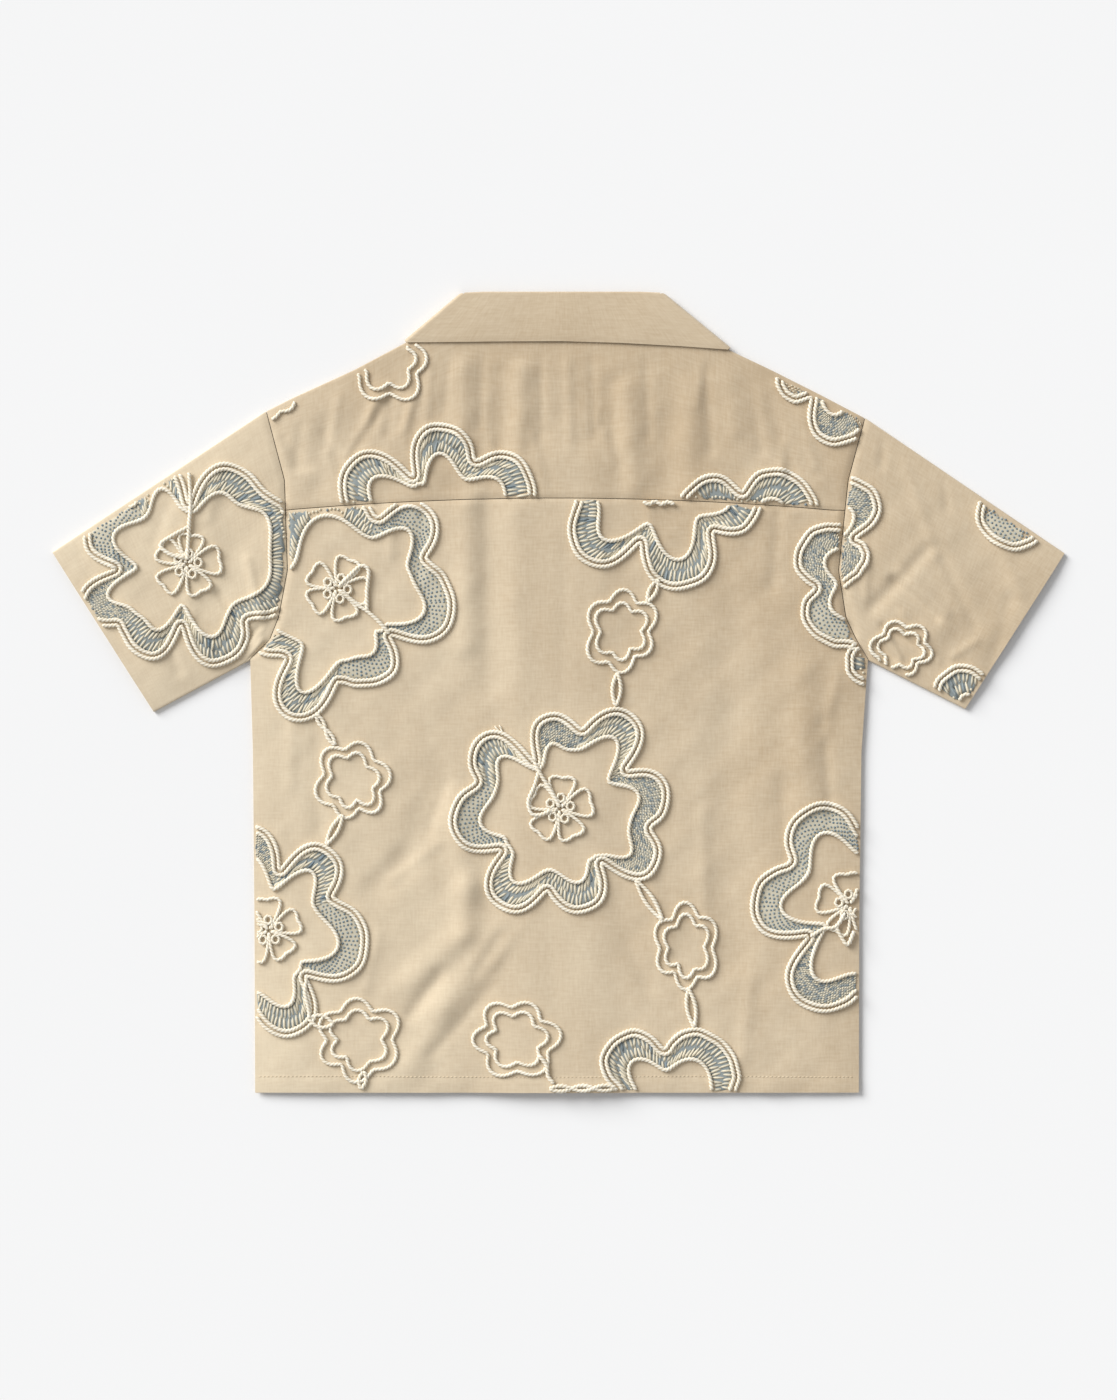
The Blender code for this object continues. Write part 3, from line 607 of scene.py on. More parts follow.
collarSizes = {
    "each": 12, "rows": 26, "turn": 6, "stand": 5, "cut": (0.42, 0.075), "area": 0.0235,
    "foldTop": 6.4, "foldDrop": 2.6, "thick": 0.9,
}


def makeCollar():
    each, rows = collarSizes["each"], collarSizes["rows"]
    turn, stand, foldDrop = collarSizes["turn"], collarSizes["stand"], collarSizes["foldDrop"]
    count = (len(collarStrip) - 1) * each
    place = np.arange(count + 1) / each
    base = np.minimum(place.astype(int), len(collarStrip) - 2)
    blend = place - base
    a, b = collarStrip[base], collarStrip[base + 1]
    turning = (a[:, 4] == 0) | (b[:, 4] == 0)
    fromTurn = a[:, 4] == 0
    rising, falling = np.sin(blend * pi / 2), np.cos(blend * pi / 2)
    shift = np.where(turning, np.where(fromTurn, 1 - falling, rising), blend)[:, None]
    at = a[:, :4] + (b[:, :4] - a[:, :4]) * shift
    high = np.where(turning, np.where(fromTurn, b[:, 4] * rising, a[:, 4] * falling), a[:, 4])
    points = np.zeros((rows + 1 + turn + stand, count + 1, 3))
    for row in range(rows + 1):
        share = row / rows
        x = at[:, 0] + (at[:, 2] - at[:, 0]) * share
        y = at[:, 1] + (at[:, 3] - at[:, 1]) * share
        over = np.maximum(clothHeight(x, y) + 1.3, collarSizes["foldTop"])
        over = over + 0.35 * np.sin(pi * share) * (high > 0.5) + 0.12 * np.sin(x / 9.0 + 2 * share)
        edge = smooth(share, 0.9, 1.0) * 0.25
        z = over * (0.5 + 0.5 * high) - edge * (high > 0)
        points[turn + stand + row] = np.column_stack((x, y - 0.5 * (row == 0), z))
    first = points[turn + stand].copy()
    for step in range(turn + stand):
        back = turn + stand - 1 - step
        if step < turn:
            angle = pi * (step + 1) / (turn + 1)
            y = first[:, 1] + 0.9 * np.sin(angle)
            z = first[:, 2] - foldDrop * (0.5 - 0.5 * np.cos(angle))
            points[back] = np.column_stack((first[:, 0], y, z))
        else:
            share = (step - turn + 1) / stand
            low = alongTable(ridgeLine, first[:, 0]) + 0.6
            y = first[:, 1] + (low - first[:, 1]) * share
            z = first[:, 2] - foldDrop - 0.6 * share
            points[back] = np.column_stack((first[:, 0], y, z))
    down = lengthsAlong(points[:, 8 * each])
    midway = lengthsAlong(points[turn + stand + rows // 2])
    patch = np.dstack(np.meshgrid(midway, down))

    def keep(row, column):
        # the stand is only under the fall
        return len(points) - 2 - row >= turn + stand or 5 * each <= column < 11 * each

    obj = layCloth("collarCloth", points[::-1], patch[::-1], keep, collarSizes["thick"])
    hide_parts("collar")


def fineGrid(coarse, perRow, perColumn):
    # a grid of x, y with more rows and columns, straight between the coarse ones
    rows, columns = coarse.shape[0] - 1, coarse.shape[1] - 1
    fineRows = np.linspace(0, rows, rows * perRow + 1)
    fineColumns = np.linspace(0, columns, columns * perColumn + 1)
    wide = [[np.interp(fineColumns, np.arange(columns + 1), row[:, k]) for k in range(2)] for row in coarse]
    wide = np.array(wide)
    both = [[np.interp(fineRows, np.arange(rows + 1), wide[:, k, c]) for c in range(len(fineColumns))]
            for k in range(2)]
    return np.array(both).transpose(2, 1, 0)


frontSizes = {"cut": (0.225, 0.50), "area": 0.098, "ridgeColumns": 6, "perRow": 9, "perColumn": 8}

# Shallow creases of the fronts, which lie on the floor: x0, y0, x1, y1, width, height
frontCreases = [
    (-150, 120, -120, 60, 5.0, 0.6), (-95, 140, -82, 70, 4.5, 0.5), (-60, 60, -72, -30, 6.0, 0.55),
    (-130, 10, -150, -70, 6.0, 0.6), (-170, -60, -140, -140, 5.0, 0.5), (-90, -110, -60, -190, 6.5, 0.6),
    (-40, -60, -46, -150, 5.0, 0.45), (-120, -180, -110, -240, 5.5, 0.5), (152, 130, 128, 66, 5.0, 0.6),
    (92, 132, 88, 60, 5.0, 0.5), (64, 40, 82, -40, 6.0, 0.55), (140, 0, 156, -80, 6.0, 0.6),
    (110, -90, 84, -160, 6.0, 0.6), (44, -90, 48, -170, 5.0, 0.45), (168, -120, 150, -190, 5.5, 0.5),
    (70, -200, 92, -246, 5.0, 0.5),
]


def frontLevel(side, x, y):
    # height of the side of a front that faces the floor
    placket = cloth["stripLift"] if side < 0 else cloth["stripTop"]
    foot = cloth["openingFoot"]
    strip = placket * smooth(x * -side, -30, -16) * (1 - smooth(y, foot, foot + 25))
    level = np.maximum(neckLift(x, y), strip)
    lie = np.clip(0.14 * np.sin(x / 13 + y / 41) + 0.12 * np.sin(y / 17 - x / 29) - 0.02, 0, 0.3)
    for x0, y0, x1, y1, width, height in frontCreases:
        lie = lie + height * np.exp(-((fromSegment(x, y, x0, y0, x1, y1) / width) ** 2)) * (strip < 0.1)
    return level + lie


def makeFront(side):
    lap, hem = cloth["lap"], cloth["hemY"]
    innerY = [hem, -150, -40, 30, 60, 95, 122, 146, 178, 205, 236]
    innerX = [lap, lap, lap, lap, lap, lap, lap, 0, -17.5, -33.5, -50]
    outerY = [hem, -150, -40, 22, 35, 50, 81, 105, 128, 150, 173]
    ridgeEnd = cloth["neckLeft"] if side < 0 else cloth["neckRight"]
    ridgeStart = ridgeLine[0 if side < 0 else -1][0]
    ridge = np.linspace(ridgeStart, ridgeEnd, frontSizes["ridgeColumns"] + 1)
    coarse = np.zeros((len(outerY), 8, 2))
    for row, (yOut, yIn, xIn) in enumerate(zip(outerY, innerY, innerX)):
        xOut = float(alongTable(bodyEdges, yOut, 1 if side < 0 else 2)) + side * 0.35 * (yOut > 22)
        if xIn > 0:
            width = lap + abs(xOut)
            ramp = (abs(xOut) - 30) / width
            stops = [ramp * i / 5 for i in range(6)] + [ramp + 14 / width, 1.0]
        else:
            stops = [0, 0.2, 0.38, 0.54, 0.68, 0.8, 0.9, 1.0]
        for column, stop in enumerate(stops):
            coarse[row, column] = (xOut + (-side * xIn - xOut) * stop, yOut + (yIn - yOut) * stop)
        if row == len(outerY) - 1:
            for column in range(7):
                coarse[row, column] = (tucked(ridge[column]),
                                       alongTable(ridgeLine, ridge[column]) - cloth["frontDrop"] - 0.3)
            coarse[row, 7] = (-50.0 * -side, yIn)
    plan = fineGrid(coarse, frontSizes["perRow"], frontSizes["perColumn"])
    x, y = plan[:, :, 0], plan[:, :, 1]
    points = np.dstack((x, y, frontLevel(side, x, y)))
    if side < 0:
        points = points[:, ::-1]
    obj = layCloth(sided(side, "front", "Cloth"), points, points[:, :, :2])
    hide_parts(sided(side, "front_").lower())


reversSizes = {
    "cut": (0.08, 0.065), "area": 0.0024, "perRow": 12, "perColumn": 14, "thick": 0.8, "lift": 0.12,
}


def makeRevers(side):
    coarse = np.array([
        [(-16.0, 136.0), (-48.0, 151.0), (-79.0, 166.0)],
        [(-2.0, 151.0), (-38.0, 166.0), (-72.0, 174.8)],
        [(-30.0, 198.5), (-48.0, 191.0), (-65.0, 184.0)],
    ])
    coarse[:, :, 0] *= -side
    plan = fineGrid(coarse, reversSizes["perRow"], reversSizes["perColumn"])
    x, y = plan[:, :, 0], plan[:, :, 1]
    z = reversSizes["lift"] + 0.1 * np.sin(x / 8 + y / 11)
    points = np.dstack((x, y, z))
    if side > 0:
        points = points[:, ::-1]
    obj = layCloth(sided(side, "revers", "Cloth"), points, points[:, :, :2], thickness=reversSizes["thick"])
    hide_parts(sided(side, "revers_").lower())


makeBack()
makeYoke()
for side in (-1, 1):
    makeSleeve(side)
    makeFront(side)
    makeRevers(side)
makeCollar()
print("cloth laid")


# Embroidery: couched cords, sewn bands and their stitches

cordSizes = {"radius": 1.5, "step": 0.8, "sides": 8, "twist": 2.5, "sink": 0.3, "pairGap": 3.6}
bandSizes = {"lift": 0.5, "thick": 0.5, "across": 6, "stitchHeight": 0.95}
# notchWidth and lobeWidth are from a ring's outer cord to its inner one;
# the bulges widen the lobes over their notches
ringSizes = {
    "notchWidth": 14.5, "lobeWidth": 20.0, "bulge": 0.08, "innerBulge": 0.02,
    "points": 1000, "leastInner": 5,
    "closedAngle": 0.12,   # how far round, in radians, the band is narrow at a closed notch
    "closedGap": 2.4,      # from the cord beside the outer one to the inner one there
    "sample": 0.45,        # step along the band
    "bandEvery": 3,        # samples from one row of the ground to the next
    "inset": 0.6,          # share of the cords' radius that the band lies inside them
    "leastWidth": 2.4,     # of the band, where that inset is still whole
}

# name, panel, solids, x, y, seed, lobes, angles where the band closes, stitch styles round the ring
# a lobe: angle of the notch before it, radius in that notch, radius on the lobe
rings = [
    ("ringCentre", "back", ["ring_centre"], 1, -79, 1.3,
     [(32, 52, 80), (75, 57, 65), (117, 38, 73), (161, 59, 73), (213, 46, 75), (261, 54, 68), (309, 45, 74),
      (350, 60, 73)], (117, 213, 309), "bcbdbbcc"),
    ("ringUpperLeft", "back", ["ring_upper_left"], -140, 60, 1.7,
     [(29, 60, 82), (70, 60, 79), (145, 57, 76), (222, 55, 86), (264, 54, 58), (322, 36, 71)],
     (322,), "dbbbdd"),
    ("ringUpperRight", "back", ["ring_upper_right"], 71, 137, 2.6,
     [(15, 50, 60), (100, 50, 60), (190, 60, 74), (246, 42, 69), (316, 43, 64)], (), "bbbbb"),
    ("ringLowLeft", "back", ["ring_low_left"], -199, -159, 3.3,
     [(25, 55, 73), (71, 45, 71), (125, 50, 70), (180, 50, 70), (266, 54, 72), (317, 42, 73)],
     (317,), "bcbbbd"),
    ("ringLowRight", "back", ["ring_low_right"], 197, -142, 4.1,
     [(0, 50, 70), (85, 48, 73), (146, 52, 69), (212, 38, 74), (274, 58, 70)], (), "bddcb"),
    ("ringArmhole", "back", ["ring_armhole"], 206, 75, 5.2,
     [(0, 40, 46), (118, 41, 52), (189, 37, 52), (255, 46, 46)], (), "bcdb"),
    ("ringUnderarm", "back", [], 222, 20, 0.8,
     [(60, 24, 30), (140, 24, 31), (220, 22, 30), (300, 24, 30)], (), "bbbb"),
    ("ringHem", "back", ["ring_hem"], 73, -272, 5.9,
     [(5, 44, 54), (95, 36, 56), (168, 36, 50), (270, 40, 50)], (), "bbcb"),
    ("ringYoke", "yoke", ["ring_yoke"], -79, 112, 0.9,
     [(5, 60, 69), (60, 48, 66), (119, 37, 73), (178, 58, 62), (270, 50, 60)], (119,), "bbbbb"),
    ("ringYokeRight", "yoke", [], 127, 92, 3.0,
     [(25, 50, 60), (98, 41, 60), (160, 50, 54), (270, 46, 50)], (), "bbbb"),
    ("ringShoulder", "yoke", ["ring_shoulder"], 178, 214, 2.2,
     [(60, 40, 45), (160, 24, 34), (240, 22, 50), (325, 40, 45)], (), "bccb"),
    ("ringSleeve", "sleeveLeft", ["ring_sleeve", "ring_sleeve_2", "ring_sleeve_3"], -248, 86, 3.9,
     [(30, 78, 73), (86, 39, 71), (131, 54, 70), (185, 47, 75), (224, 61, 68), (267, 42, 72),
      (318, 56, 77)], (86,), "bbdcbbb"),
    ("ringSleeveRight", "sleeveRight", [], 178, 98, 4.6,
     [(12, 20, 48), (105, 40, 40), (180, 30, 40), (280, 32, 29)], (12,), "cbbc"),
    ("ringSleeveTop", "sleeveRight", ["flower_sleeve_top"], 322, 146, 1.4,
     [(90, 40, 50), (195, 36, 57), (270, 43, 50), (345, 44, 50)], (), "bdcb"),
    ("ringSleeveLow", "sleeveRight", ["flower_sleeve_low"], 283, -25, 0.6,
     [(10, 34, 42), (85, 33, 47), (160, 27, 42), (250, 34, 42)], (), "bbcb"),
]

# name, panel, solid, x, y, radius, turn
clovers = [
    ("cloverCentre", "back", "clover_centre", 1, -77, 20, 82),
    ("cloverUpperLeft", "back", "clover_upper_left", -147, 69, 20, 70),
    ("cloverLowLeft", "back", "clover_low_left", -192, -158, 20, 20),
    ("cloverLowRight", "back", "clover_low_right", 193, -141, 20, 170),
    ("cloverSleeve", "sleeveLeft", "clover_sleeve", -246, 85, 20, 80),
]

# name, panel, solids, x, y, radius, height to width, turn, seed
smallFlowers = [
    ("flowerUpper", "back", ["flower_upper"], 41, 41, 18.0, 1.2, 0, 0.3),
    ("flowerLeft", "back", ["flower_left"], -137, -58, 18.5, 1.12, 45, 1.2),
    ("flowerRight", "back", ["flower_right"], 85, -168, 16.8, 1.28, 0, 2.4),
    ("flowerLowLeft", "back", ["flower_low_left"], -132, -230, 21.5, 0.98, 0, 3.1),
    ("flowerLowMiddle", "back", ["flower_low_middle"], -28, -230, 22.0, 0.92, 35, 4.0),
    ("flowerYoke", "yoke", ["flower_yoke"], -113, 220, 21, 1.0, 30, 5.1),
    ("flowerSleeve", "sleeveRight", [], 227, 29, 15, 1.0, 20, 0.7),
    ("flowerShoulder", "yoke", [], -190, 199, 13, 1.0, 0, 2.9),
]

# Angles at which a frayed end stands out of a ring, and its strands: lean in degrees and length
tufts = {"ringCentre": (130,)}
tuftSizes = {"strands": ((-24, 5.5), (4, 6.5), (30, 4.5)), "radius": 0.75, "lift": 0.8, "root": 1.5}

# Twin cords that link the motifs: panel, x0, y0, x1, y1, number of lenses, half width
links = [
    ("back", 66, 75, 59, 60, 1, 2.4), ("back", 39, 13, 38, -9, 1, 2.8),
    ("back", -161, -14, -148, -35, 2, 1.6), ("back", -143, -81, -154, -101, 1, 2.4),
    ("back", 51, -124, 69, -151, 1, 2.8), ("back", 86, -196, 90, -222, 1, 2.9),
    ("back", -129, -251, -131, -263, 1, 2.4), ("back", -6, -262.5, 38, -262, 3, 1.8),
    ("back", -149, -220, -166, -216, 1, 4.0),
]

# Single cords that run from a ring into its clover, or stand by themselves: panel and a few points
tails = [
    ("back", [(-16, -46), (-12, -54), (-5, -65), (1, -76)]),
    ("back", [(-13, -52), (-16, -62), (-20, -72), (-18, -80), (-12, -81), (-5, -78)]),
    ("back", [(-112, 39), (-120, 48), (-127, 54), (-133, 58), (-145, 68)]),
    ("back", [(-127, 54), (-127, 68), (-126, 81), (-131, 84), (-138, 78), (-146, 70)]),
    ("sleeveLeft", [(-245, 146), (-244, 126), (-245, 110), (-246, 88)]),
    ("sleeveLeft", [(-245, 110), (-256, 104), (-264, 98), (-258, 92), (-248, 89)]),
    ("back", [(167, -162), (175, -157), (184, -155), (190, -146)]),
    ("back", [(184, -155), (188, -163), (192, -167), (196, -158)]),
    ("back", [(-167, -190), (-168, -199), (-166, -208), (-165, -216)]),
    ("back", [(-13, -240), (-8, -247), (-7, -254), (-3, -259)]),
    ("back", [(56, 126.4), (60, 124.9), (64, 126.6), (68, 124.8), (72, 126.2), (77, 124.9)]),
]


def sleeveMargins(side):
    # edges of a sleeve as start, end, sign of their inner side and share of the margin to keep
    shoulder, underarm, cuffTop, cuffLow = sleeveCorners[side]
    middle = np.mean(sleeveCorners[side], axis=0)
    found = []
    for p, q, share in ((shoulder, cuffTop, 1.5), (cuffTop, cuffLow, 1.4), (cuffLow, underarm, 1.5)):
        sign = np.sign((middle[0] - p[0]) * (q[1] - p[1]) - (middle[1] - p[1]) * (q[0] - p[0]))
        found.append((p, q, sign, share))
    return found


def inPanel(panel, x, y, margin):
    if panel in ("back", "yoke"):
        between = (x > armhole(y, -1) + margin) & (x < armhole(y, 1) - margin)
        if panel == "back":
            return between & (y > cloth["hemY"] + margin) & (y < yokeSeam(x) - margin)
        inside = (y > yokeSeam(x) + margin) & (y < alongTable(ridgeLine, x) - margin * 1.5)
        # the collar's fall covers the middle of the yoke's top
        return between & inside & ((y < 232.0 - margin * 0.3) | (np.abs(x) > 108))
    side = -1 if panel == "sleeveLeft" else 1
    keep = (x - armhole(np.clip(y, 22, 186), side)) * side > margin
    for p, q, sign, share in sleeveMargins(side):
        dx, dy = q[0] - p[0], q[1] - p[1]
        distance = ((x - p[0]) * dy - (y - p[1]) * dx) / np.hypot(dx, dy)
        keep &= distance * sign > margin * share
    return keep


def polar(x, y, reach, angle, tall=1):
    return np.column_stack((x + reach * np.cos(angle), y + reach * tall * np.sin(angle)))


def runs(inside, closed):
    # index lists of the unbroken stretches that lie on the panel, and whether the path is closed on it
    count = len(inside)
    if inside.all():
        return [np.arange(count)], closed
    start = int(np.argmin(inside)) if closed else 0
    found = [[]]
    for index in (np.arange(count) + start) % count:
        if inside[index]:
            found[-1].append(index)
        else:
            found.append([])
    return [np.array(run) for run in found if len(run) > 4], False


def evenly(path, step, closed):
    # the same path with a point every step
    ends = np.vstack((path, path[:1])) if closed else path
    lengths = np.r_[0, np.cumsum(np.hypot(*np.diff(ends, axis=0).T))]
    count = max(4, int(round(lengths[-1] / step)))
    at = np.linspace(0, lengths[-1], count, endpoint=not closed)
    return np.column_stack([np.interp(at, lengths, ends[:, k]) for k in range(2)])


def alongPath(path, closed):
    return np.roll(path, -1, axis=0) - np.roll(path, 1, axis=0) if closed else np.gradient(path, axis=0)


def normals(path, closed):
    ahead = alongPath(path, closed)
    ahead /= np.maximum(np.hypot(*ahead.T), 1e-9)[:, None]
    return np.column_stack((ahead[:, 1], -ahead[:, 0]))


def smoothRoute(points, perPart=24):
    # Catmull-Rom curve through a few points
    p = np.array([points[0], *points, points[-1]], float)
    t = np.linspace(0, 1, perPart, endpoint=False)[:, None]
    parts = []
    for a, b, c, d in zip(p, p[1:], p[2:], p[3:]):
        parts.append(0.5 * ((2 * b) + (c - a) * t + (2 * a - 5 * b + 4 * c - d) * t ** 2
                            + (3 * b - 3 * c + d - a) * t ** 3))
    return np.vstack(parts + [p[-1:]])


class Meshes:
    # gathers many small closed forms into one mesh, with a length-wise UV and a tint
    def __init__(self):
        self.points, self.faces, self.uvs, self.tints, self.count = [], [], [], [], 0

    def add(self, points, faces, uvs=None, tints=None):
        self.points.append(points)
        self.faces += [tuple(int(i) + self.count for i in face) for face in faces]
        self.uvs.append(np.zeros((len(points), 2)) if uvs is None else uvs)
        self.tints.append(np.ones(len(points)) if tints is None else tints)
        self.count += len(points)

    def make(self, name, look, slot, solids=()):
        mesh = bpy.data.meshes.new(name)
        points = np.vstack(self.points) * mm
        mesh.from_pydata(points.tolist(), [], self.faces)
        setAttributes(mesh, np.vstack(self.uvs) * mm, "tint", np.concatenate(self.tints))
        mesh.polygons.foreach_set("use_smooth", np.ones(len(mesh.polygons), bool))
        mesh.materials.append(look)
        obj = bpy.data.objects.new(name, mesh)
        bpy.context.scene.collection.objects.link(obj)
        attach(obj, "root")
        if solids:
            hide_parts(*solids)


def addCord(meshes, path, closed, radius=cordSizes["radius"], lift=0.0, seed=0.0):
    # a cord of two plies that lies on the cloth along a path of x, y
    sides = cordSizes["sides"]
    path = evenly(path, cordSizes["step"], closed)
    count = len(path)
    z = surface(path[:, 0], path[:, 1]) + radius - cordSizes["sink"] + lift
    taper = np.ones(count)
    if not closed:
        ends = np.minimum(np.arange(count), np.arange(count)[::-1])
        taper = np.clip(0.55 + ends / 2.5, 0.55, 1)
    centre = np.column_stack((path, z))
    side = np.column_stack((normals(path, closed), np.zeros(count)))
    ahead = alongPath(centre, closed)
    ahead /= np.linalg.norm(ahead, axis=1)[:, None]
    up = np.cross(side, ahead)
    up *= np.sign(up[:, 2])[:, None]
    along = np.arange(count) * cordSizes["step"]
    angle = 2 * pi * np.arange(sides) / sides
    turn = pi * along / cordSizes["twist"] + seed
    if closed:
        # a whole number of half turns, so that the plies meet
        whole = max(1, round(turn[-1] / pi))
        turn = pi * whole * np.arange(count) / count
    plies = np.cos(2 * (angle[None, :] - turn[:, None]))
    ply = 0.84 + 0.19 * plies
    uneven = 1 + 0.05 * np.sin(along / 3.1 + seed * 3) + 0.04 * np.sin(along / 7.7 + seed)
    reach = radius * ply * (uneven * taper)[:, None]
    points = (centre[:, None, :] + side[:, None, :] * (reach * np.cos(angle))[:, :, None]
              + up[:, None, :] * (reach * np.sin(angle))[:, :, None])
    rows = count if closed else count - 1
    faces = []
    for i in range(rows):
        j = (i + 1) % count
        for k in range(sides):
            m = (k + 1) % sides
            faces.append((i * sides + k, i * sides + m, j * sides + m, j * sides + k))
    if not closed:
        faces.append(tuple(range(sides - 1, -1, -1)))
        faces.append(tuple((count - 1) * sides + k for k in range(sides)))
    uvs = np.column_stack((np.repeat(along, sides), np.tile(angle * radius, count)))
    # the tint is painted shade: light on the crests of the plies, dark in the grooves between them
    meshes.add(points.reshape(-1, 3), faces, uvs, (0.5 + 0.5 * plies).ravel())


def addCordOnPanel(meshes, panel, path, closed, margin=1.2, **more):
    path = evenly(path, 1.0, closed)
    found, whole = runs(inPanel(panel, path[:, 0], path[:, 1], margin), closed)
    for run in found:
        if len(run) > 5:
            addCord(meshes, path[run], whole, **more)


def ringPaths(x, y, seed, lobes, closed):
    # outer cord, the one beside it, inner cord, and the notch angles from the first one round to it again;
    # the radius goes as a cosine from notch to lobe and back, and a few small waves keep it uneven
    angle = np.linspace(0, 2 * pi, ringSizes["points"], endpoint=False)
    notches = np.radians([lobe[0] for lobe in lobes] + [lobes[0][0] + 360])
    low, high = np.array(lobes, float)[:, 1:].T
    around = (angle - notches[0]) % (2 * pi) + notches[0]
    place = np.interp(around, notches, np.arange(len(notches)))
    part = np.minimum(place.astype(int), len(lobes) - 1)
    across = place - part
    base = low[part] + (low[(part + 1) % len(lobes)] - low[part]) * (1 - np.cos(pi * across)) / 2
    base = base + 0.9 * np.sin(2 * angle + seed) + 0.5 * np.sin(5 * angle + 1.7 * seed)
    wave = 2 * pi * across + pi
    rise = (np.cos(wave) + 1) / 2
    outer = base + (high[part] - base) * (rise + 0.05 * (1 - np.cos(2 * wave)))
    outer = outer + 0.22 * np.sin(19 * angle + 2 * seed) + 0.16 * np.sin(31 * angle + seed)
    deep = base - ringSizes["notchWidth"]
    inner = deep + (high[part] - ringSizes["lobeWidth"] - deep) * (rise + 0.03 * np.cos(2 * wave))
    for notch in closed:
        apart = (angle - radians(notch) + pi) % (2 * pi) - pi
        dip = np.exp(-((apart / ringSizes["closedAngle"]) ** 2))
        inner = inner * (1 - dip) + (outer - cordSizes["pairGap"] - ringSizes["closedGap"]) * dip
    inner = np.maximum(inner, ringSizes["leastInner"])
    width = np.diff(notches)[part]
    paths = []
    for reach, bulge in ((outer, ringSizes["bulge"]), (inner, ringSizes["innerBulge"])):
        spread = angle + bulge * width * np.sin(wave)
        paths.append(polar(x, y, reach, spread))
    out = normals(paths[0], True)
    if np.sum(out * (paths[0] - (x, y))) < 0:
        out = -out
    return paths[0], paths[0] - out * cordSizes["pairGap"], paths[1], notches


def makeUnitStitch():
    deselect()
    bpy.ops.mesh.primitive_ico_sphere_add(subdivisions=1, radius=0.5, location=(0, 0, 0))
    stitch = bpy.context.active_object
    points = np.array([v.co[:] for v in stitch.data.vertices])
    faces = np.array([p.vertices[:] for p in stitch.data.polygons])
    bpy.data.objects.remove(stitch, do_unlink=True)
    return points, faces


unitPoints, unitFaces = makeUnitStitch()


def addStitches(meshes, rows):
    # rows of x, y, z, direction, length, width, height, tint
    if not len(rows):
        return
    rows = np.array(rows)
    local = unitPoints[None] * rows[:, None, 4:7]
    c, s = np.cos(rows[:, 3])[:, None], np.sin(rows[:, 3])[:, None]
    x = rows[:, 0:1] + local[:, :, 0] * c - local[:, :, 1] * s
    y = rows[:, 1:2] + local[:, :, 0] * s + local[:, :, 1] * c
    z = rows[:, 2:3] + local[:, :, 2]
    points = np.dstack((x, y, z)).reshape(-1, 3)
    faces = (unitFaces[None] + (np.arange(len(rows)) * len(unitPoints))[:, None, None]).reshape(-1, 3)
    meshes.add(points, faces, np.column_stack((points[:, 0], points[:, 1])),
               np.repeat(rows[:, 7], len(unitPoints)))


# Ways of stitching, dots, ropes and close stitches: pitches, length, width, lean, share of blue threads
# and tint of the ground
stitchStyles = {
    "d": {"along": 2.6, "across": 2.5, "length": 1.7, "width": 1.8, "lean": 0.5, "blue": 1.0, "ground": 0.9},
    "b": {"along": 2.3, "across": 0, "length": 0, "width": 1.95, "lean": 1.32, "blue": 0.06, "ground": 0.0},
    "c": {"along": 1.5, "across": 1.6, "length": 2.2, "width": 1.0, "lean": 0.7, "blue": 0.3, "ground": 0.3},
}


def makeBand(panel, high, low, tone):
    # the sewn ground between the cords: a thin arched strip, closed on all sides
    band = Meshes()
    middle = (high + low) / 2
    found, whole = runs(inPanel(panel, middle[:, 0], middle[:, 1], 1.2), True)
    across = bandSizes["across"]
    for run in found:
        places = [low[run] + (high[run] - low[run]) * k / across for k in range(across + 1)]
        inside = [inPanel(panel, place[:, 0], place[:, 1], 1.2)[:, None] for place in places]
        half = across // 2
        for k in [*range(half + 1, across + 1), *range(half - 1, -1, -1)]:
            # a point past the edge of the panel stays with the last one before it
            places[k] = np.where(inside[k], places[k], places[k - 1 if k > half else k + 1])
        grid = []
        for k, place in enumerate(places):
            arch = bandSizes["lift"] * (0.5 + 0.5 * sin(pi * k / across))
            grid.append(np.column_stack((place, surface(place[:, 0], place[:, 1]) + arch)))
        grid = np.stack(grid, axis=1)
        n, m = len(run), across + 1
        points = np.vstack((grid.reshape(-1, 3), (grid - (0, 0, bandSizes["thick"])).reshape(-1, 3)))
        faces = []
        for i in range(n if whole else n - 1):
            j = (i + 1) % n
            for k in range(across):
                a, b, c, d = i * m + k, i * m + k + 1, j * m + k + 1, j * m + k
                faces += [(a, b, c, d), (d + n * m, c + n * m, b + n * m, a + n * m)]
            faces += [(i * m, j * m, j * m + n * m, i * m + n * m),
                      (j * m + across, i * m + across, i * m + across + n * m, j * m + across + n * m)]
        if not whole:
            for i in (0, n - 1):
                for k in range(across):
                    a, b = i * m + k, i * m + k + 1
                    face = (b, a, a + n * m, b + n * m)
                    faces.append(face if i == 0 else face[::-1])
        band.add(points, faces, points[:, :2], np.tile(np.repeat(tone[run], m), 2))
    return band


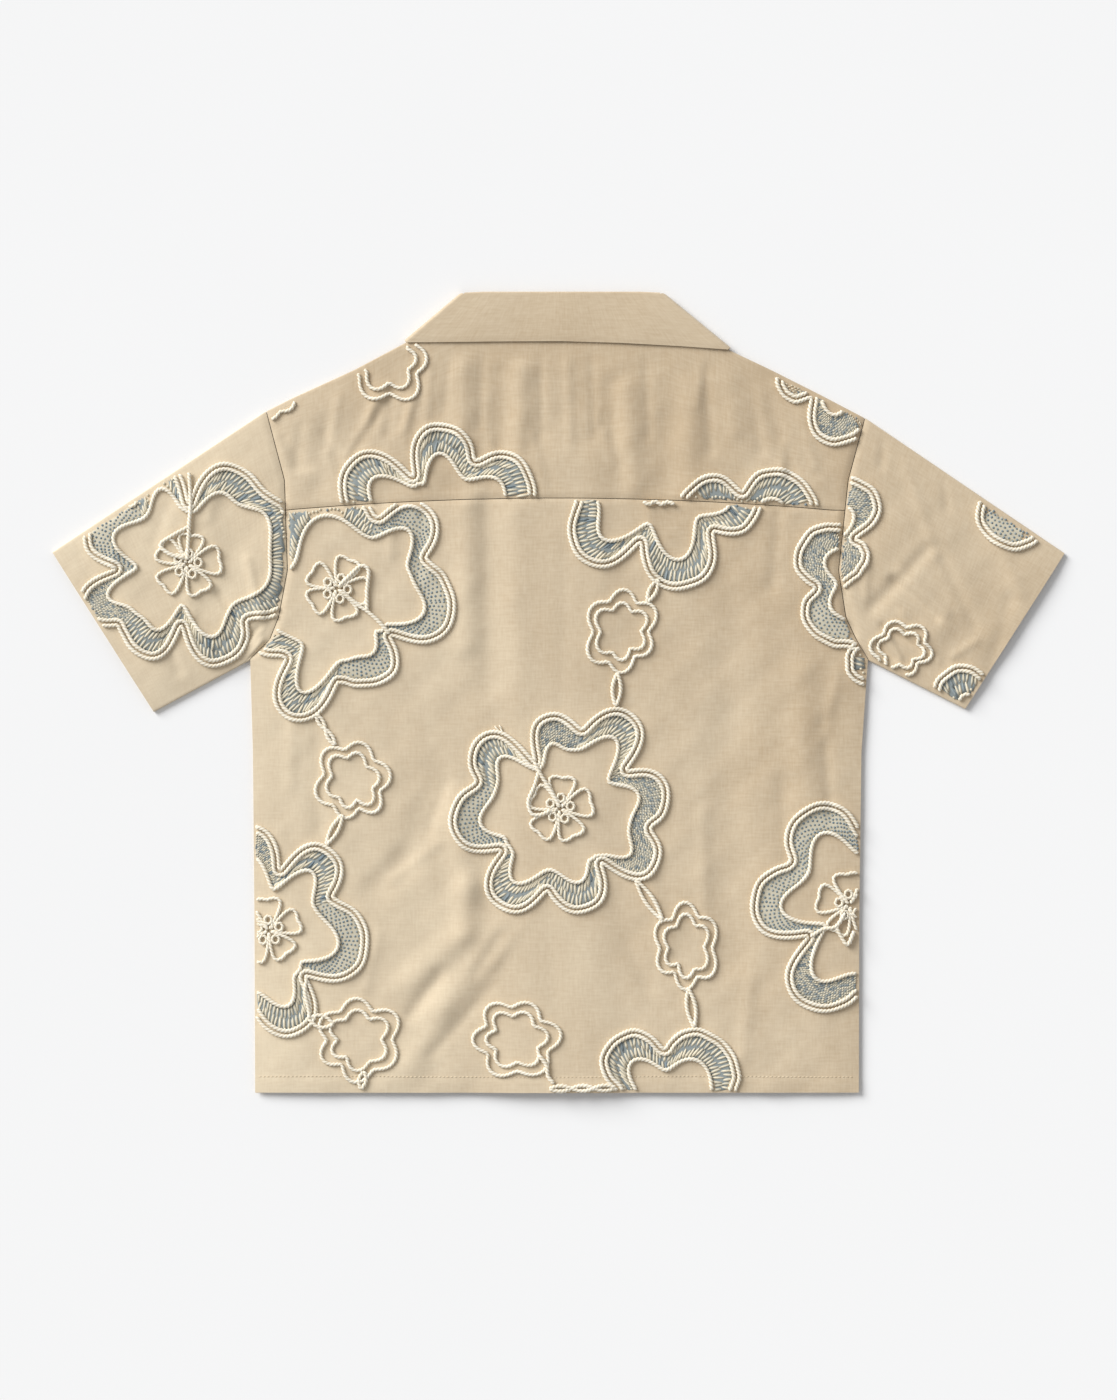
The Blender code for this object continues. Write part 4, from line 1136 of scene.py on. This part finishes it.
def sewBand(panel, high, low, section, random):
    middle = (high + low) / 2
    across = high - low
    room = np.hypot(*across.T)
    stepLength = np.hypot(*(np.roll(middle, -1, axis=0) - middle).T)
    rows, travelled, nextRow, flip = [], 0.0, 0.0, 1
    for i in range(len(middle)):
        travelled += stepLength[i]
        style = stitchStyles[section[i]]
        if travelled < nextRow or room[i] < 1.2:
            continue
        nextRow = travelled + style["along"]
        flip = -flip
        ropes = style["across"] == 0     # strands that reach across the band in two parts
        number = 2 if ropes else max(1, int((room[i] - 0.4) / style["across"]))
        length = room[i] * 0.64 if ropes else style["length"]
        heading = np.arctan2(across[i, 1], across[i, 0]) + pi / 2
        for k in range(number):
            shift = 0 if ropes else 0.25 * flip
            share = np.clip((k + 0.5 + shift + random.uniform(-0.12, 0.12)) / number, 0.04, 0.96)
            place = low[i] + across[i] * share + random.uniform(-0.18, 0.18, 2)
            blue = random.random() < style["blue"]
            tint = random.uniform(0.0, 0.22) if blue else random.uniform(0.6, 1.0)
            rows.append((*place, 0.0, heading + style["lean"] + random.uniform(-0.2, 0.2),
                         length * random.uniform(0.85, 1.15), style["width"] * random.uniform(0.85, 1.1),
                         bandSizes["stitchHeight"], tint))
    rows = np.array(rows)
    if not len(rows):
        return rows
    rows = rows[inPanel(panel, rows[:, 0], rows[:, 1], 1.5)]
    # strands that would reach past the panel's edge are sewn short
    endX, endY = 0.5 * rows[:, 4] * np.cos(rows[:, 3]), 0.5 * rows[:, 4] * np.sin(rows[:, 3])
    within = inPanel(panel, rows[:, 0] + endX, rows[:, 1] + endY, 0.8)
    within &= inPanel(panel, rows[:, 0] - endX, rows[:, 1] - endY, 0.8)
    rows[:, 4] = np.where(within, rows[:, 4], np.minimum(rows[:, 4], 2.2))
    if len(rows):
        rows[:, 2] = surface(rows[:, 0], rows[:, 1]) + bandSizes["lift"] * 1.05
    return rows


def makeRing(name, panel, solids, x, y, seed, lobes, closed, styles, random):
    outer, second, inner, notches = ringPaths(x, y, seed, lobes, closed)
    cords = Meshes()
    for path, extra in ((outer, 0.0), (second, 1.3), (inner, 2.6)):
        addCordOnPanel(cords, panel, path, True, seed=seed + extra)
    for tuft in tufts.get(name, ()):
        # a frayed cord end that stands away from the ring
        root = outer[int(tuft % 360 / 360 * len(outer))]
        for lean, length in tuftSizes["strands"]:
            to = radians(tuft + lean)
            direction = np.array((cos(to), sin(to)))
            start, end = root - tuftSizes["root"] * direction, root + length * direction
            middle = (start + end) / 2 + (0.5 * sin(lean), 0.5 * cos(lean))
            addCordOnPanel(cords, panel, smoothRoute([start, middle, end], 8), False,
                           radius=tuftSizes["radius"], seed=lean, lift=tuftSizes["lift"])
    cords.make(name + "Cords", cordIvory, "embroidery", solids)
    # even the points out along the middle of the band
    middle = (second + inner) / 2
    lengths = np.r_[0, np.cumsum(np.hypot(*(np.roll(middle, -1, axis=0) - middle).T))]
    at = np.linspace(0, lengths[-1], int(lengths[-1] / ringSizes["sample"]), endpoint=False)
    index = np.interp(at, lengths, np.arange(len(lengths)))
    count = len(middle)

    def sampled(path):
        return np.column_stack([np.interp(index, np.arange(count + 1), np.r_[path[:, k], path[:1, k]])
                                for k in range(2)])

    high, low = sampled(second), sampled(inner)
    gap = high - low
    inset = cordSizes["radius"] * ringSizes["inset"] / np.maximum(np.hypot(*gap.T), ringSizes["leastWidth"])
    high, low = high - gap * inset[:, None], low + gap * inset[:, None]
    angle = index / count * 2 * pi
    around = (angle - notches[0]) % (2 * pi) + notches[0]
    lobe = np.clip(np.interp(around, notches, np.arange(len(notches))).astype(int), 0, len(lobes) - 1)
    section = [styles[k] for k in lobe]
    tone = np.array([stitchStyles[s]["ground"] for s in section])
    every = ringSizes["bandEvery"]
    ground = makeBand(panel, high[::every], low[::every], tone[::every])
    ground.make(name + "Band", bandBlue, "embroidery")
    rows = sewBand(panel, high, low, section, random)
    if len(rows):
        threads = Meshes()
        addStitches(threads, rows)
        threads.make(name + "Stitches", threadGrey, "embroidery")


cloverSizes = {
    "petals": 5, "spread": 31, "radius": 1.3, "root": 1.2,
    "eyeletAt": 0.36, "eyelet": (2.4, 2.7), "eyeletRadius": 1.1, "eyeletLift": 0.8,
}


def makeClover(name, panel, solid, x, y, radius, turn, random):
    # petals as loops of one cord that lie a little over each other, each with a round eyelet at its root
    cords = Meshes()
    petals = cloverSizes["petals"]
    for petal in range(petals):
        middle = radians(turn) + 2 * pi * petal / petals + random.uniform(-0.08, 0.08)
        t = np.linspace(0.0, 1.0, 70)
        wide = (t - 0.5) * 2 * radians(cloverSizes["spread"] + random.uniform(-2, 3))
        reach = radius * (1 + random.uniform(-0.08, 0.05)) * (1 - np.abs(2 * t - 1) ** 7) ** 0.55
        dent = 1 - 0.05 * np.exp(-(((t - 0.5) / 0.1) ** 2))
        reach = reach / np.cos(0.75 * wide) * dent + cloverSizes["root"]
        addCordOnPanel(cords, panel, polar(x, y, reach, middle + wide), False, radius=cloverSizes["radius"],
                       seed=petal, lift=0.1 + 0.08 * petal)
        t = np.linspace(0, 2 * pi, 26, endpoint=False)
        px = x + cloverSizes["eyeletAt"] * radius * cos(middle) + cloverSizes["eyelet"][0] * np.cos(t)
        py = y + cloverSizes["eyeletAt"] * radius * sin(middle) + cloverSizes["eyelet"][1] * np.sin(t)
        addCordOnPanel(cords, panel, np.column_stack((px, py)), True, radius=cloverSizes["eyeletRadius"],
                       seed=petal + 0.5, lift=cloverSizes["eyeletLift"])
    cords.make(name + "Cords", cordIvory, "embroidery", [solid])


# lines: radius in the notches and what the lobes add to it, as shares of the flower's,
# and phase of the unevenness
flowerSizes = {"lobes": 6, "radius": 1.35, "lines": ((1.02, 0.30, 0.0), (0.72, 0.24, 0.8))}


def makeSmallFlower(name, panel, solids, x, y, radius, tall, turn, seed):
    cords = Meshes()
    angle = np.linspace(0, 2 * pi, 400, endpoint=False)
    for notch, lobe, wobble in flowerSizes["lines"]:
        wave = flowerSizes["lobes"] * (angle - radians(turn)) + 0.6 * np.sin(angle + seed) + pi
        rise = (np.cos(wave) + 1) / 2 * (1 + 0.18 * np.sin(2.0 * angle + 2 * seed + wobble))
        reach = radius * (notch + lobe * rise + 0.04 * np.sin(2 * angle + seed + wobble)
                          + 0.03 * np.sin(3 * angle + seed * 2))
        spread = angle + 0.05 * np.sin(wave)
        addCordOnPanel(cords, panel, polar(x, y, reach, spread, tall), True, radius=flowerSizes["radius"],
                       seed=seed + wobble)
    cords.make(name + "Cords", cordIvory, "embroidery", solids)


linkSizes = {"margin": 0.8, "cross": 0.9, "tailLift": 0.9}


def makeLinks():
    # two cords that swing apart and meet again, one of them lying a little higher
    cords = Meshes()
    for number, (panel, x0, y0, x1, y1, lenses, half) in enumerate(links):
        t = np.linspace(0, 1, 60)
        direct = np.array((x1 - x0, y1 - y0))
        aside = np.array((-direct[1], direct[0])) / np.hypot(*direct)
        base = np.array((x0, y0)) + direct * t[:, None]
        for side in (-1, 1):
            swing = side * half * np.sin(pi * lenses * t)
            path = base + aside * swing[:, None]
            cross = linkSizes["cross"] * np.abs(np.cos(pi * lenses * t)) if side > 0 else 0
            addCordOnPanel(cords, panel, path, False, margin=linkSizes["margin"], seed=number + side,
                           lift=float(np.mean(cross)) * 0.5)
    for number, (panel, points) in enumerate(tails):
        addCordOnPanel(cords, panel, smoothRoute(points), False, seed=number * 0.7,
                       lift=linkSizes["tailLift"])
    cords.make("linkCords", cordIvory, "embroidery")


seamSizes = {"pitch": 2.65, "length": 2.15, "width": 0.62, "height": 0.5, "frontHeight": 0.4}


def rowOfStitches(x0, y0, x1, y1, random):
    # x, y, direction, length, width and tint of a straight row of machine stitches
    reach = np.hypot(x1 - x0, y1 - y0)
    rows = []
    for i in range(int(reach / seamSizes["pitch"])):
        share = (i + 0.5) * seamSizes["pitch"] / reach
        heading = np.arctan2(y1 - y0, x1 - x0) + random.uniform(-0.06, 0.06)
        rows.append((x0 + (x1 - x0) * share, y0 + (y1 - y0) * share + 0.3 * sin(share * reach / 37), heading,
                     seamSizes["length"], seamSizes["width"], random.uniform(0.5, 0.9)))
    return np.array(rows)


def addRow(threads, row, z, height):
    addStitches(threads, np.column_stack((row[:, :2], z, row[:, 2:5], np.full(len(row), height), row[:, 5])))


def makeSeamStitches(random):
    threads = Meshes()
    y = cloth["hemY"] + cloth["hemDepth"]
    left, right = armhole(y, -1) + 2, armhole(y, 1) - 2
    row = rowOfStitches(left, y, right, y, random)
    addRow(threads, row, surface(row[:, 0], row[:, 1]) + 0.12, seamSizes["height"])
    # the fronts: hem, both edges of the placket
    lap = cloth["lap"]
    inner = lap - buttonSizes["placket"]
    plan = [(-1, left, y, lap - 2, y), (1, lap + 1, y, right, y), (-1, lap - 1.8, y, lap - 1.8, 134),
            (-1, inner, y, inner, 140)]
    for side, *ends in plan:
        row = rowOfStitches(*ends, random)
        addRow(threads, row, frontLevel(side, row[:, 0], row[:, 1]) - 0.05, seamSizes["frontHeight"])
    # buttonholes: close stitches on both sides of the slit
    for place in buttonSizes["places"]:
        for step in np.arange(-7.2, 7.3, 0.8):
            for x in (-0.95, 0.95):
                z = float(frontLevel(-1, np.array(x), np.array(place))) - 0.05
                addStitches(threads, [(x, place + step, z, 0, 1.7, 0.6, 0.35, random.uniform(0.4, 0.8))])
    threads.make("seamStitches", hemThread, "khaki_cotton")


buttonSizes = {
    "places": (128.0, 40.0, -48.0, -136.0), "radius": 5.5, "thick": 2.0, "rim": 1.1, "dish": 0.45,
    "hole": 0.8, "holeAt": 1.35, "edge": 0.3, "strand": 0.22,
    "placket": 25.0,       # width of the placket between its rows of stitches
}


def makeButtons(look):
    # One four-hole button with a dished face towards the floor, then its copies.
    thick = buttonSizes["thick"] * mm
    deselect()
    bpy.ops.mesh.primitive_cylinder_add(vertices=40, radius=buttonSizes["radius"] * mm, depth=thick,
                                        location=(0, 0, 0))
    button = bpy.context.active_object
    bpy.ops.object.mode_set(mode="EDIT")
    bpy.ops.mesh.select_all(action="DESELECT")
    bpy.ops.mesh.select_mode(type="FACE")
    bpy.ops.object.mode_set(mode="OBJECT")
    for face in button.data.polygons:
        face.select = face.normal.z < -0.9
    bpy.ops.object.mode_set(mode="EDIT")
    bpy.ops.mesh.inset(thickness=buttonSizes["rim"] * mm, depth=-buttonSizes["dish"] * mm)
    bpy.ops.object.mode_set(mode="OBJECT")
    bevel = button.modifiers.new("edge", "BEVEL")
    bevel.width = buttonSizes["edge"] * mm
    bevel.segments = 3
    bevel.limit_method = "ANGLE"
    bpy.ops.object.modifier_apply(modifier="edge")
    for x, y in ((1, 1), (1, -1), (-1, 1), (-1, -1)):
        bpy.ops.mesh.primitive_cylinder_add(
            vertices=14, radius=buttonSizes["hole"] * mm, depth=thick * 3,
            location=(x * buttonSizes["holeAt"] * mm, y * buttonSizes["holeAt"] * mm, 0))
        drill = bpy.context.active_object
        bpy.context.view_layer.objects.active = button
        cut = button.modifiers.new("hole", "BOOLEAN")
        cut.operation = "DIFFERENCE"
        cut.solver = "EXACT"
        cut.object = drill
        bpy.ops.object.modifier_apply(modifier="hole")
        bpy.data.objects.remove(drill, do_unlink=True)
    smoothShaded(button, 35)
    button.data.materials.clear()
    button.data.materials.append(look)
    threads = Meshes()
    for number, place in enumerate(buttonSizes["places"], 1):
        # the first is moved to its place, and each copy goes on from there
        copy, shift, rise = button, place, thick / 2
        if number > 1:
            copy, shift, rise = button.copy(), place - buttonSizes["places"][0], 0
            copy.data = button.data.copy()
            bpy.context.scene.collection.objects.link(copy)
        copy.name = f"hornButton{number}"
        copy.data.transform(Matrix.Translation((0, shift * mm, rise)))
        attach(copy, "root")
        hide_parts(f"button_{number}")
        for x in (-1, 1):
            for strand in (-buttonSizes["strand"], buttonSizes["strand"]):
                at = x * buttonSizes["holeAt"] + strand
                addStitches(threads, [(at, place, buttonSizes["dish"] - 0.05, pi / 2, 3.4, 0.45, 0.5, 0.7)])
    threads.make("buttonThreads", hemThread, "khaki_cotton")


def makeCordLook():
    finish = Finish("cordIvory")
    # painted shade: the cord is darker in the grooves between its plies and paler on their crests
    plyGrooveShade = finish.attribute("tint")
    place = finish.ownUv()
    fibre = finish.stretched(place, (500.0, 2400.0, 1), 2.0)
    cloud = finish.stretched(place, (60.0, 60.0, 1), 2.0)
    shade = plyGrooveShade * 0.55 + (fibre - 0.5) * 0.5 + (cloud - 0.5) * 0.5 + 0.25
    tone = finish.ramp(shade, (0.1, linear(196, 178, 146)), (0.45, linear(236, 226, 204)),
                       (0.85, linear(252, 247, 234)))
    bump = finish.bump(0.5, 0.0003, fibre)
    return finish.set(colour=tone, roughness=0.8, normal=bump, sheen=0.15, sheenRoughness=0.5, specular=0.25)


def makeThreadLook(name, *stops, grain=900.0):
    finish = Finish(name)
    tint = finish.attribute("tint")
    place = finish.ownUv()
    fine = finish.stretched(place, (grain, grain, 1), 2.0)
    shade = tint * 0.85 + (fine - 0.5) * 0.35 + 0.07
    tone = finish.ramp(shade, *stops)
    bump = finish.bump(0.4, 0.0002, fine)
    return finish.set(colour=tone, roughness=0.85, normal=bump, sheen=0.1, sheenRoughness=0.5, specular=0.2)


cordIvory = makeCordLook()
threadGrey = makeThreadLook("threadGrey", (0.0, linear(98, 118, 132)), (0.3, linear(150, 158, 158)),
                            (0.55, linear(199, 192, 172)), (1.0, linear(230, 219, 194)))
bandBlue = makeThreadLook("bandBlue", (0.0, linear(134, 144, 146)), (0.4, linear(174, 172, 160)),
                          (1.0, linear(210, 201, 178)), grain=700.0)
hemThread = makeThreadLook("hemThread", (0.0, linear(196, 176, 146)), (1.0, linear(228, 214, 188)))


def makeHornLook():
    finish = Finish("hornBrown")
    streak = finish.stretched(finish.ownPlace(), (160.0, 700.0, 400.0), 4.0, 0.6)
    tone = finish.ramp(streak, (0.3, linear(92, 68, 44)), (0.5, linear(138, 106, 70)),
                       (0.72, linear(186, 154, 112)))
    return finish.set(colour=tone, roughness=0.35, specular=0.5)


hornBrown = makeHornLook()
random = np.random.default_rng(11)
for ring in rings:
    makeRing(*ring, random)
print("rings sewn")
for clover in clovers:
    makeClover(*clover, random)
for flower in smallFlowers:
    makeSmallFlower(*flower)
makeLinks()
makeSeamStitches(random)
makeButtons(hornBrown)
print("cords and stitches sewn")


# Floor, light and camera

# side in metres; dull and bright are the two greys of the paper, grain the scale of their change
floorSizes = {"side": 6, "dull": 0.86, "bright": 0.88, "grain": 3.0}


def makeFloor():
    bpy.ops.mesh.primitive_plane_add(size=floorSizes["side"], location=(0, 0, 0))
    floor = bpy.context.active_object
    floor.name = "paleFloor"
    look = Finish("paleFloor")
    paper = look.stretched(look.ownPlace(), (floorSizes["grain"],) * 3)
    dull, bright = floorSizes["dull"], floorSizes["bright"]
    tone = look.mixColour(paper, (dull, dull, dull, 1), (bright, bright, bright, 1))
    floor.data.materials.append(look.set(colour=tone, roughness=0.95, specular=0.1))


# sunAngle is how wide the source of the light looks; angles in degrees
lightSizes = {"sun": 3.68, "sunAngle": 36, "sunHeight": 31, "sunHeading": 140, "world": 0.46}


def makeLights():
    bpy.ops.object.light_add(type="SUN", location=(-1.4, 1.4, 1.6))
    sun = bpy.context.active_object
    sun.name = "windowSun"
    sun.data.energy = lightSizes["sun"]
    sun.data.angle = radians(lightSizes["sunAngle"])
    height, heading = radians(lightSizes["sunHeight"]), radians(lightSizes["sunHeading"])
    toward = Vector((cos(height) * cos(heading), cos(height) * sin(heading), sin(height)))
    sun.rotation_euler = toward.to_track_quat("Z", "Y").to_euler()
    world = bpy.context.scene.world or bpy.data.worlds.new("softRoom")
    bpy.context.scene.world = world
    world.use_nodes = True
    background = world.node_tree.nodes["Background"]
    background.inputs["Color"].default_value = (0.985, 0.99, 1, 1)
    background.inputs["Strength"].default_value = lightSizes["world"]


# metres, with the sensor in millimetres; the frame has the photo's scale at the level of focusHeight
cameraSizes = {"height": 3.0, "focusHeight": 0.005, "sensor": 24.0, "clipEnd": 20}


def makeCamera():
    height, sensor = cameraSizes["height"], cameraSizes["sensor"]
    centreY = (photo["zeroY"] - photo["height"] / 2) * photo["pixelSize"] * mm
    bpy.ops.object.camera_add(location=(0, centreY, height), rotation=(0, 0, 0))
    camera = bpy.context.active_object
    camera.name = "photoCamera"
    camera.data.sensor_fit = "VERTICAL"
    camera.data.sensor_height = sensor
    frameHeight = photo["height"] * photo["pixelSize"] * mm
    camera.data.lens = sensor * (height - cameraSizes["focusHeight"]) / frameHeight
    camera.data.clip_end = cameraSizes["clipEnd"]
    bpy.context.scene.camera = camera


makeFloor()
makeLights()
makeCamera()
bpy.context.scene.view_settings.view_transform = "Standard"
print("floor, light and camera ready")
